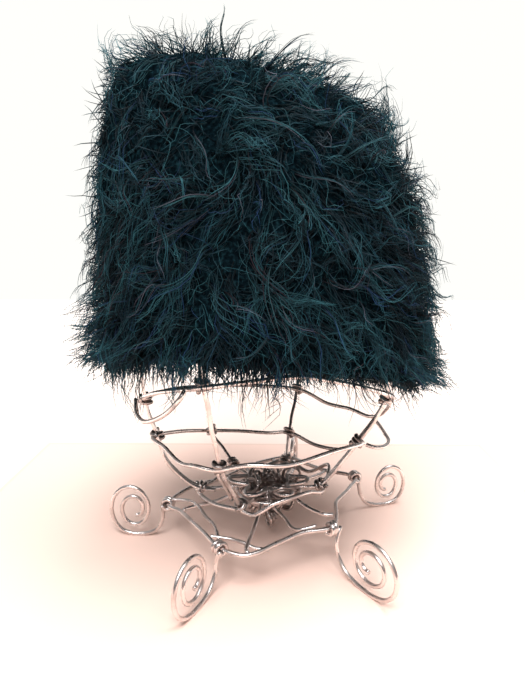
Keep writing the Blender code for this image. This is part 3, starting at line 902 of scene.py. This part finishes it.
def make_under(material, rng):
    """Short dark strands under the locks."""
    roots = [even_roots(UNDER.count, rng), even_roots(CROWN_UNDER_COUNT, rng, CROWN_SHARE, 0.99)]
    share, angle = (np.concatenate(part) for part in zip(*roots))
    count = len(share)
    places, _, first, last, length = grow(UNDER, share, angle, ROOT_DEPTH, rng)
    times = np.linspace(0, 1, UNDER.points)
    paths = places[:, None, :] + arc(first, last, length, times)
    paths += waves(count, times, rng, *UNDER.waves)
    # Painted light lightens these strands towards the crown.
    tone = np.clip(rng.normal(*UNDER.tone, count) + crown_painted_light(share), 0.0, 0.45)
    strands_mesh("pile_under", paths, rng.uniform(*UNDER.radii, count), tone, material)


def make_locks(material, rng):
    """Wavy locks, each of several strands that run together to its tip."""
    share, angle = even_roots(LOCKS.count, rng)
    places, normal, first, last, length = grow(LOCKS, share, angle, ROOT_DEPTH, rng)
    times, lock_arc = bend(LOCKS, first, last, length, rng)
    middle, tone_spread = LOCKS.tone
    lock_tone_and_light = middle + 0.20 * smooth_noise(places, 0.045, 31) + rng.normal(0, tone_spread, LOCKS.count)
    # Painted light lightens the locks towards the crown.
    lock_tone_and_light += crown_painted_light(share)
    owner = np.repeat(np.arange(LOCKS.count), LOCKS.strands)
    count = len(owner)
    spread = rng.normal(0, LOCKS.width, (count, 3))
    normal_part = (spread * normal[owner]).sum(axis=1, keepdims=True)
    spread = spread - normal[owner] * normal_part * 0.7
    gather = (times ** 0.8)[None, :, None] * rng.uniform(0.35, 0.95, (count, 1, 1))
    own = lock_arc[owner] * rng.uniform(*LOCKS.own, (count, 1, 1))
    paths = places[owner][:, None, :] + spread[:, None, :] * (1 - gather) + own
    paths += waves(count, times, rng, *LOCKS.waves)
    room = room_at(share, angle, rng.uniform(0.75, 1.35, LOCKS.count))[owner]
    paths = settle(paths, room * rng.uniform(0.85, 1.1, count), times, rng, CRIMP, 2.0)
    radius = rng.uniform(*LOCKS.radii, count)
    tone = tones(count, rng, lock_tone_and_light[owner])
    for name, chosen in sector_masks(share[owner], angle[owner]):
        strands_mesh("pile_locks_" + name, paths[chosen], radius[chosen], tone[chosen], material)


def make_free(material, rng):
    """Loose wavy strands over the locks."""
    count = FREE.count
    share, angle = even_roots(count, rng)
    places, _, first, last, length = grow(FREE, share, angle, ROOT_DEPTH * 1.5, rng)
    times = np.linspace(0, 1, FREE.points)
    paths = places[:, None, :] + arc(first, last, length, times)
    paths += curl(first, last, length, times, rng, *FREE.curls)
    paths += waves(count, times, rng, *FREE.waves)
    tone = tones(count, rng, FREE.tone[0] + FREE.tone[1] * smooth_noise(places, 0.04, 33))
    paths = settle(paths, room_at(share, angle, rng.uniform(0.8, 1.5, count)), times, rng, CRIMP, 2.4)
    strands_mesh("pile_free", paths, rng.uniform(*FREE.radii, count), tone, material)


def make_tufts(material, rng):
    """Tufts of a few strands that stand out and end in hooks."""
    share, angle = even_roots(TUFTS.count, rng, 0.02, 1.0)
    places, normal, first, last, length = grow(TUFTS, share, angle, ROOT_DEPTH * 1.6, rng)
    stand = np.minimum(depth_at(share, angle), 1.0)
    first = unit(first + normal * 0.25 * stand)
    last = unit(last + normal * rng.uniform(0.10, 0.60, (TUFTS.count, 1)) * stand)
    times, tuft_arc = bend(TUFTS, first, last, length, rng)
    paths, owner = bunch(TUFTS, TUFT_GATHER, places, tuft_arc, times, rng)
    count = len(owner)
    tone = tones(count, rng, rng.normal(*TUFTS.tone, TUFTS.count)[owner], TUFT_GREY)
    room = room_at(share, angle, rng.uniform(1.1, 1.9, TUFTS.count))[owner]
    paths = settle(paths, room * rng.uniform(0.9, 1.1, count), times, rng, CRIMP / 2, 2.0)
    strands_mesh("pile_tufts", paths, rng.uniform(*TUFTS.radii, count), tone, material, taper=0.85)


def make_flares(material, rng):
    """The two corners of the rim, where the pile is brushed out to the side."""
    parts = []
    for middle, spread, first, last in FLARES:
        angle = np.radians(rng.normal(middle, spread, FLARED.count))
        share = np.abs(rng.normal(0.055, 0.06, FLARED.count))
        places = hat_frame(share, angle, ROOT_DEPTH)[0]
        start = unit(np.array(first) + rng.normal(size=places.shape) * 0.25)
        end = unit(np.array(last) + rng.normal(size=places.shape) * 0.32)
        parts.append((places, start, end, rng.uniform(*FLARED.lengths, FLARED.count)))
    places, first, last, length = (np.concatenate(part) for part in zip(*parts))
    times, lock_arc = bend(FLARED, first, last, length, rng)
    paths, owner = bunch(FLARED, FLARE_GATHER, places, lock_arc, times, rng)
    count = len(owner)
    tone = tones(count, rng, rng.normal(*FLARED.tone, len(places))[owner])
    strands_mesh("pile_flares", keep_in_room(paths), rng.uniform(*FLARED.radii, count), tone, material)


def make_fringe(material, rng):
    """Loose strands that hang below the rim."""
    count = FRINGE.count
    angle = rng.uniform(0, 2 * math.pi, count)
    share = np.abs(rng.normal(0, 0.010, count))
    places, normal, around = hat_frame(share, angle, rng.uniform(0.000, 0.006, count))
    sweep = np.sin(angle - PARTING)[:, None] * 0.5
    first = unit(normal * rng.uniform(0.0, 0.9, (count, 1)) + DOWN + around * sweep
                 + rng.normal(size=places.shape) * 0.30)
    last = unit(DOWN + around * sweep + rng.normal(size=places.shape) * 0.55)
    degrees = side_degrees(angle)
    length = rng.uniform(*FRINGE.lengths, count)
    length *= 1 + 0.5 * ((degrees > -75) & (degrees < -15))
    times = np.linspace(0, 1, FRINGE.points)
    paths = places[:, None, :] + arc(first, last, length, times)
    paths += curl(first, last, length, times, rng, *FRINGE.curls)
    tone = tones(count, rng, FRINGE.tone[0])
    strands_mesh("pile_fringe", keep_in_room(paths), rng.uniform(*FRINGE.radii, count), tone, material)


def make_rim(material, rng):
    """Short dense strands that close the rim's edge."""
    count = RIM.count
    angle = rng.uniform(0, 2 * math.pi, count)
    share = np.abs(rng.normal(0, 0.012, count))
    places, normal, _ = hat_frame(share, angle, rng.uniform(0.0005, 0.0045, count))
    first = unit(DOWN + normal * rng.uniform(0.0, 0.5, (count, 1)) + rng.normal(size=places.shape) * 0.20)
    last = unit(DOWN + rng.normal(size=places.shape) * 0.40)
    length = rng.uniform(*RIM.lengths, count) * rim_length(share, angle)
    paths = places[:, None, :] + arc(first, last, length, np.linspace(0, 1, RIM.points))
    tone = np.clip(rng.normal(*RIM.tone, count), 0.0, 0.5)
    strands_mesh("pile_rim", paths, rng.uniform(*RIM.radii, count), tone, material)


def make_pile(material):
    rng = np.random.default_rng(PILE_SEED)
    for make_part in (make_under, make_locks, make_free, make_tufts, make_flares, make_fringe, make_rim):
        make_part(material, rng)


# The wire stand


def tube_arrays(path, radius, sides, closed):
    """Vertices and faces of a tube along a path, its frame carried along."""
    count = len(path)
    if closed:
        tangents = unit(np.roll(path, -1, axis=0) - np.roll(path, 1, axis=0))
    else:
        tangents = unit(np.gradient(path, axis=0))
    side = unit(np.cross(tangents[0], (0.3, 0.2, 0.93)))
    frames = []
    for tangent in tangents:
        side = unit(side - tangent * side.dot(tangent))
        frames.append(side)
    frames = np.array(frames)
    if closed:
        back = unit(frames[-1] - tangents[0] * frames[-1].dot(tangents[0]))
        twist = math.atan2(np.cross(frames[0], back).dot(tangents[0]), frames[0].dot(back))
        turn = -twist * np.arange(count) / count
    else:
        turn = np.zeros(count)
    other = np.cross(tangents, frames)
    angles = np.arange(sides) * 2 * math.pi / sides
    mixed = angles[None, :] + turn[:, None]
    ring = frames[:, None, :] * np.cos(mixed)[:, :, None] + other[:, None, :] * np.sin(mixed)[:, :, None]
    vertices = (path[:, None, :] + ring * radius).reshape(-1, 3)
    faces = skin_faces(count, sides, closed)
    if not closed:
        faces.append(tuple(reversed(range(sides))))
        faces.append(tuple((count - 1) * sides + corner for corner in range(sides)))
    return vertices, faces


def wobble(path, seed):
    """Small kinks of wire that was bent by hand."""
    offsets = [smooth_noise(path, 0.030, seed * 7 + axis) * WIRE_WOBBLE for axis in range(3)]
    return path + np.stack(offsets, axis=1)


def make_wire(name, paths, is_node=True, radius=WIRE_RADIUS, sides=WIRE_SIDES, material=None):
    """One piece of wire, or several joined ones; it mostly stands for the CAD node of its name."""
    vertices, faces, count = [], [], 0
    for path, closed in paths:
        more, skin = tube_arrays(np.asarray(path) + SHIFT, radius, sides, closed)
        more[:, 2] = np.maximum(more[:, 2], 0.0)
        vertices.append(more)
        faces += [tuple(index + count for index in face) for face in skin]
        count += len(more)
    piece = mesh_object("wire_" + name, np.concatenate(vertices), faces, material or WIRE)
    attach(piece, "root")
    if is_node:
        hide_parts(name)


def basket_points(rows):
    return [polar(a, r * BASKET_RADIUS, h * BASKET_HEIGHT) for a, r, h in rows]


def base_points(rows):
    return [polar(a, r * BASE_CORNER_RADIUS, h * BASE_HEIGHT) for a, r, h in rows]


def circle(point_at, steps=CIRCLE_STEPS):
    return np.array([point_at(360 * step / steps) for step in range(steps)])


def rib_points(rib):
    _, degrees, *shares = rib
    return basket_points(zip([degrees] * 4, shares[0::2], shares[1::2]))


def closed_path(points, steps):
    return smooth_path(sorted(points, key=direction_of), steps, closed=True)


def inside_hat(level, degrees, inset):
    share = np.interp([level * HAT_HEIGHT], PROFILE[:, 0], PROFILE_AT)
    return on_hat(share, np.radians([degrees]), -inset)[0] - SHIFT


def under_crown(degrees, radius):
    """A point of the plane in which the top ring lies under the crown."""
    depth = WALL_THICKNESS + WIRE_RADIUS + 0.0005
    x = HAT_CENTRE_X + CROWN_SHIFT * HAT_RADIUS + radius * math.cos(math.radians(degrees))
    y = radius * math.sin(math.radians(degrees))
    return np.array((x, y, RIM_HEIGHT + HAT_HEIGHT - depth + TOP_SLOPE_X * x + TOP_SLOPE_Y * y))


def rib_path(rib):
    degrees = rib[1]
    inset = WALL_THICKNESS + WIRE_RADIUS + FORM_CLEARANCE
    start = polar(degrees, HUB_COIL_RADIUS + BUTT_STEP, HUB_HEIGHT + KNOT_STEP)
    over_hub = polar(degrees, HUB_RADIUS, HUB_HEIGHT + KNOT_STEP)
    inside = [inside_hat(level, degrees, inset) for level in FORM_LEVELS]
    end = under_crown(degrees, TOP_RING_RADIUS + BUTT_STEP)
    approach = under_crown(degrees, TOP_RING_RADIUS + 8 * WIRE_RADIUS)
    approach[2] -= WIRE_RADIUS
    return smooth_path([start, over_hub] + rib_points(rib) + inside + [approach, end], PATH_STEPS)


def knot_outside(rib, index):
    """Where a ring passes a rib: one wire and a gap away, on its outer side."""
    crossings = rib_points(rib)
    along = unit(crossings[min(index + 1, 3)] - crossings[max(index - 1, 0)])
    out = outward(crossings[index])
    return crossings[index] + unit(out - along * out.dot(along)) * KNOT_STEP


def ring_path(name):
    knots = [knot_outside(rib, CROSSINGS[name]) for rib in RIBS]
    return closed_path(basket_points(RINGS[name]) + knots, PATH_STEPS)


def base_ring_path(steps):
    return closed_path(base_points(BASE_RING) + base_points(foot[1:4] for foot in FEET), steps)


def winding(path, middle, turns, start):
    """Turns of wire round a path, centred on one of its points."""
    along = unit(path[(middle + 1) % len(path)] - path[middle - 1])
    up = np.array((0.0, 0.0, 1.0)) if abs(along[2]) < 0.8 else np.array((1.0, 0.0, 0.0))
    out = unit(np.cross(along, up))
    level = np.cross(out, along)
    points = []
    for step in range(int(turns * WRAP_STEPS) + 1):
        angle = 2 * math.pi * step / WRAP_STEPS + start
        distance = WRAP_PITCH * (step / WRAP_STEPS - turns / 2)
        points.append(path[middle] + along * distance
                      + (out * math.cos(angle) + level * math.sin(angle)) * KNOT_STEP)
    return np.array(points)


def foot_path(foot, base_path):
    """Wound round the base ring's corner, then the leg and the upright spiral."""
    _, degrees, _, _, heading, reach, size, width = foot
    middle = nearest_index(base_path, degrees)
    corner = base_path[middle]
    top = corner + outward(corner) * KNOT_STEP
    along = unit(base_path[(middle + 1) % len(base_path)] - base_path[middle - 1])
    out = unit(np.cross(along, (0.0, 0.0, 1.0)))
    turn = math.pi if out.dot(outward(corner)) < 0 else 0.0
    wrap = winding(base_path, middle, WRAP_TURNS, turn - 2 * math.pi * WRAP_TURNS)
    ahead = polar(heading, 1.0, 0.0)
    floor = WIRE_RADIUS - FOOT_FLAT_DEPTH
    reach = reach * FOOT_REACH

    def place(distance, height):
        return np.array((top[0], top[1], 0.0)) + ahead * distance + np.array((0, 0, height))

    leg = [place(reach * share, floor + (top[2] - floor) * height) for share, height in LEG_SHAPE]
    leg += [place(reach + side * FOOT_FLAT_LENGTH / 2, floor) for side in (-1, 1)]
    count = int(SPIRAL_TURNS * SPIRAL_STEPS)
    for step in range(1, count + 1):
        share = step / count
        radius = size * (SPIRAL_RADIUS + (SPIRAL_END_RADIUS - SPIRAL_RADIUS) * share)
        angle = 2 * math.pi * step / SPIRAL_STEPS - math.pi / 2
        centre = reach + FOOT_FLAT_LENGTH / 2 * (1 - share)
        leg.append(place(centre + radius * width * math.cos(angle),
                         floor + size * SPIRAL_RADIUS + radius * math.sin(angle)))
    bent = smooth_path([wrap[-1]] + leg, 4)
    return np.concatenate([wrap[:-1], bent])


def make_ribs():
    ribs = {}
    for index, rib in enumerate(RIBS):
        ribs[rib[0]] = rib_path(rib)
        make_wire("rib_" + rib[0], [(wobble(ribs[rib[0]], 40 + index), False)])
    return ribs


def make_ring(name, ribs):
    """One ring of the basket, and the windings that tie it to the ribs."""
    path = ring_path(name)
    make_wire(name, [(path, True)])
    knots = []
    for rib in RIBS:
        crossing = rib_points(rib)[CROSSINGS[name]]
        rib_line = ribs[rib[0]]
        middle = int(np.argmin(np.linalg.norm(rib_line - crossing, axis=1)))
        knots.append((winding(rib_line, middle, KNOT_TURNS, rib[1]), False))
    # The windings take the wire with painted shade.
    make_wire(name + "_knots", knots, is_node=False, material=WOUND_PAINTED_SHADE)
    return path


def make_loop(name, table, first, last, ends):
    start = first[nearest_index(first, ends[0])]
    end = last[nearest_index(last, ends[1])]
    points = [start + outward(start) * KNOT_STEP] + basket_points(table) + [end + outward(end) * KNOT_STEP]
    make_wire(name, [(smooth_path(points, PATH_STEPS), False)])


def make_pair(name, path, side):
    """A second wire that lies beside part of a rib."""
    along = unit(np.gradient(path, axis=0))
    beside = unit(np.cross(along, unit(path * np.array((1.0, 1.0, 0.0)))))
    sway = smooth_noise(path, 0.022, 61)[:, None] * PAIR_SWAY
    path = path + beside * side * (PAIR_GAP + sway)
    make_wire("pair_" + name, [(path, False)], is_node=False, radius=PAIR_WIRE_RADIUS)


def make_stand():
    base = base_ring_path(PATH_STEPS)
    make_wire("base_ring", [(base, True)])
    for foot in FEET:
        make_wire("foot_" + foot[0], [(foot_path(foot, base), False)])
    ribs = make_ribs()
    rings = {name: make_ring(name, ribs) for name in RINGS}
    make_loop("loop_left", LEFT_LOOP, rings["ring_upper"], rings["ring_upper"], LEFT_LOOP_ENDS)
    make_loop("loop_right", RIGHT_LOOP, rings["ring_middle"], rings["ring_upper"], RIGHT_LOOP_ENDS)
    for name, first, last, side in PAIRED_RIBS:
        count = len(ribs[name])
        make_pair(name, ribs[name][int(first * count):int(last * count)], side)
    braces = [(smooth_path(base_points(table), PATH_STEPS), False) for table in BRACES]
    make_wire("braces", braces, is_node=False, radius=BRACE_WIRE_RADIUS)
    make_hub()
    make_hub_curls()
    make_wire("top_ring", [(circle(lambda degrees: under_crown(degrees, TOP_RING_RADIUS)), True)])


def make_hub_curls():
    """The tangle of short curled ends wound round the hub."""
    rng = np.random.default_rng(CURL_SEED)
    curls = []
    for index in range(HUB_CURLS):
        direction = 360 * index / HUB_CURLS + rng.uniform(-14, 14)
        reach, height = HIGH_CURLS if index % 2 else LOW_CURLS
        centre = polar(direction, rng.uniform(*reach), rng.uniform(*height))
        axis = unit(rng.normal(size=3) * np.array((1.0, 1.0, 0.45)))
        first = unit(np.cross(axis, (0.2, 0.1, 0.97)))
        second = np.cross(axis, first)
        turns = rng.uniform(*CURL_TURNS)
        size = rng.uniform(*CURL_SIZE)
        steps = int(turns * CURL_STEPS)
        angle = np.linspace(0, turns * 2 * math.pi, steps) + rng.uniform(0, 6.28)
        radius = np.linspace(size, size * rng.uniform(0.45, 0.9), steps)
        shift = np.linspace(-1, 1, steps) * rng.uniform(0.001, 0.004)
        path = (centre + first * (np.cos(angle) * radius)[:, None]
                + second * (np.sin(angle) * radius)[:, None] + axis * shift[:, None])
        tail = polar(direction + rng.uniform(-25, 25), HUB_RADIUS * 0.9,
                     HUB_HEIGHT + rng.uniform(-0.002, 0.004))
        between = (tail + path[0]) / 2 + axis * 0.002
        curls.append((smooth_path([tail, between] + list(path[::2]), 3), False))
    # The curls take the wire with painted shade.
    make_wire("hub_curls", curls, False, CURL_WIRE_RADIUS, CURL_WIRE_SIDES, WOUND_PAINTED_SHADE)


def petal_point(degrees):
    wave = math.cos(math.radians(degrees * FLOWER_PETALS))
    height = HUB_HEIGHT + 2 * KNOT_STEP + WIRE_RADIUS * (1 + wave) ** 2 / 5
    return polar(degrees, FLOWER_RADIUS + FLOWER_WAVE * wave, height)


def make_hub():
    make_wire("hub_ring", [(circle(lambda degrees: polar(degrees, HUB_RADIUS, HUB_HEIGHT)), True)])
    foot = HUB_HEIGHT + KNOT_STEP - KNOT_STEP * HUB_COIL_TURNS
    coil = []
    for step in range(int(HUB_COIL_TURNS * HUB_COIL_STEPS) + 1):
        height = foot + KNOT_STEP * step / HUB_COIL_STEPS
        coil.append(polar(360 * step / HUB_COIL_STEPS, HUB_COIL_RADIUS, height))
    # The coil takes the wire with painted shade.
    make_wire("hub_coil", [(coil, False)], material=WOUND_PAINTED_SHADE)
    make_wire("hub_flower", [(circle(petal_point, FLOWER_PETALS * PETAL_STEPS), True)])
    coarse = base_ring_path(2)
    for name, degrees, *_ in FEET:
        index = nearest_index(coarse, degrees + SPOKE_TURN)
        along = coarse[(index + 1) % len(coarse)] - coarse[index - 1]
        inward = unit(np.array((-along[1], along[0], 0.0)))
        end = coarse[index] + inward * (BUTT_STEP + SPOKE_GAP)
        approach = coarse[index] + inward * 6 * WIRE_RADIUS
        start = polar(direction_of(approach), HUB_RADIUS + BUTT_STEP + SPOKE_GAP, HUB_HEIGHT)
        middle = (start + approach) / 2 - np.array((0, 0, WIRE_RADIUS))
        make_wire("spoke_" + name, [(smooth_path([start, middle, approach, end], 6), False)])


# Stage, light and camera

CAMERA_HEIGHT = 0.223
CAMERA_DISTANCE = 0.383
CAMERA_PITCH = 12.0
CAMERA_YAW = 0.69
FOCAL_PIXELS = 540.0
PHOTO_LONG_SIDE = 700.0
SENSOR = 36.0

# The floor, and the part of it that is tinted like the table top
FLOOR_SIZE = 3.0
TABLE_X = -0.001
TABLE_HALF_WIDTH = 0.234
TABLE_BACK = 0.172
TABLE_EDGE = 0.005
CREAM = (0.93, 0.675, 0.58)
# A painted shadow line along the table top's edge.
EDGE_PAINTED_SHADOW = (0.84, 0.62, 0.52)
BEYOND = (0.93, 0.76, 0.68)
FLOOR_COLOURS = [
    (0.0, CREAM), (0.25, CREAM), (0.42, EDGE_PAINTED_SHADOW), (0.58, EDGE_PAINTED_SHADOW), (0.75, BEYOND), (1.0, BEYOND),
]

# Where the floor beyond the table fades to white: from and to, in metres
WHITE_BACK = (0.30, 0.62)
WHITE_SIDE = (0.12, 0.32)
WHITE_EDGE = (0.0, 0.06)
WHITE = (1.0, 0.99, 0.95, 1.0)

# The studio: colours from below to above and from the front to the back, its
# strength, and the plain backdrop that the camera sees
STUDIO_HEIGHT = [
    (0.0, (0.75, 0.66, 0.60)), (0.45, (0.52, 0.48, 0.46)), (0.56, (0.66, 0.63, 0.61)),
    (0.72, (1.10, 1.09, 1.08)), (1.0, (1.60, 1.58, 1.56)),
]
STUDIO_DEPTH = [(0.0, (0.40, 0.40, 0.42)), (0.35, (0.60, 0.60, 0.61)), (0.75, (1.0, 1.0, 1.0))]
STUDIO_STRENGTH = 0.42
BACKDROP = (1.0, 0.995, 0.955, 1.0)
BACKDROP_STRENGTH = 1.02

# Lamps: name, place, what it is aimed at, size and power
LAMPS = [
    ("key_light", (-0.14, -0.60, 0.97), (0, 0, 0.15), 0.6, 13.6),
    ("top_light", (0.26, -0.04, 1.15), (0, 0, 0.10), 0.8, 16.0),
]


def make_floor():
    """A pale floor: cream like the table top, white beyond its faint edge, which is a painted shadow line.
    """
    material, tree, shader = new_material("pale_table")
    where = add(tree, "TexCoord")
    split = add(tree, "SeparateXYZ", {"Vector": where.outputs["Object"]})
    aside = compute(tree, "ABSOLUTE", compute(tree, "SUBTRACT", split.outputs["X"], TABLE_X))
    past_side = compute(tree, "SUBTRACT", aside, TABLE_HALF_WIDTH)
    past_back = compute(tree, "SUBTRACT", split.outputs["Y"], TABLE_BACK)
    out = compute(tree, "MAXIMUM", past_side, past_back)
    far = compute(tree, "MAXIMUM", stretch(tree, split.outputs["Y"], *WHITE_BACK, "SMOOTHSTEP"),
                  stretch(tree, aside, *WHITE_SIDE, "SMOOTHSTEP"))
    feed(tree, shader, {
        "Base Color": ramp(tree, stretch(tree, out, -TABLE_EDGE, TABLE_EDGE), FLOOR_COLOURS),
        "Roughness": 0.55,
        "Specular IOR Level": 0.2,
        "Emission Color": WHITE,
        "Emission Strength": compute(tree, "MULTIPLY", far, stretch(tree, out, *WHITE_EDGE, "SMOOTHSTEP")),
    })
    half = FLOOR_SIZE / 2
    floor = mesh_object("floor", [(-half, -half, 0), (half, -half, 0), (half, half, 0), (-half, half, 0)],
                        [(0, 1, 2, 3)], material, smooth=False)


def make_light():
    world = bpy.data.worlds.new("studio")
    bpy.context.scene.world = world
    world.use_nodes = True
    tree = world.node_tree
    where = add(tree, "TexCoord")
    split = add(tree, "SeparateXYZ", {"Vector": where.outputs["Generated"]})
    height = ramp(tree, stretch(tree, split.outputs["Z"], -1.0, 1.0), STUDIO_HEIGHT)
    depth = ramp(tree, stretch(tree, split.outputs["Y"], -1.0, 1.0), STUDIO_DEPTH)
    studio = tree.nodes["Background"]
    feed(tree, studio, {"Color": multiply(tree, height, depth), "Strength": STUDIO_STRENGTH})
    backdrop = add(tree, "Background", {"Color": BACKDROP, "Strength": BACKDROP_STRENGTH})
    rays = add(tree, "LightPath")
    mix = add(tree, "MixShader", {"Fac": rays.outputs["Is Camera Ray"], 1: studio.outputs["Background"],
                                  2: backdrop.outputs["Background"]})
    feed(tree, tree.nodes["World Output"], {"Surface": mix.outputs["Shader"]})
    for name, place, target, size, power in LAMPS:
        lamp = bpy.data.lights.new(name, "AREA")
        lamp.size = size
        lamp.energy = power
        light = bpy.data.objects.new(name, lamp)
        light.location = place
        light.rotation_euler = (Vector(target) - Vector(place)).to_track_quat("-Z", "Y").to_euler()
        bpy.context.scene.collection.objects.link(light)


def make_camera():
    data = bpy.data.cameras.new("camera")
    data.sensor_width = SENSOR
    data.lens = FOCAL_PIXELS / PHOTO_LONG_SIDE * SENSOR
    data.clip_start = 0.01
    camera = bpy.data.objects.new("camera", data)
    camera.location = Vector((0.0, -CAMERA_DISTANCE, CAMERA_HEIGHT)) + Vector(SHIFT)
    camera.rotation_euler = (math.radians(90 - CAMERA_PITCH), 0.0, math.radians(CAMERA_YAW))
    bpy.context.scene.collection.objects.link(camera)
    bpy.context.scene.camera = camera


bpy.context.scene.view_settings.view_transform = "Standard"
WIRE = wire_material("silver_wire", SILVER)
# The wound wire is painted darker: painted shade at the hub and the knots.
WOUND_PAINTED_SHADE = wire_material("wound_wire_painted_shade", PAINTED_SHADE_SILVER)
make_floor()
make_light()
make_camera()
make_knit_wall(knit_material())
make_backing(painted_shade_backing_material())
make_pile(pile_material())
make_stand()
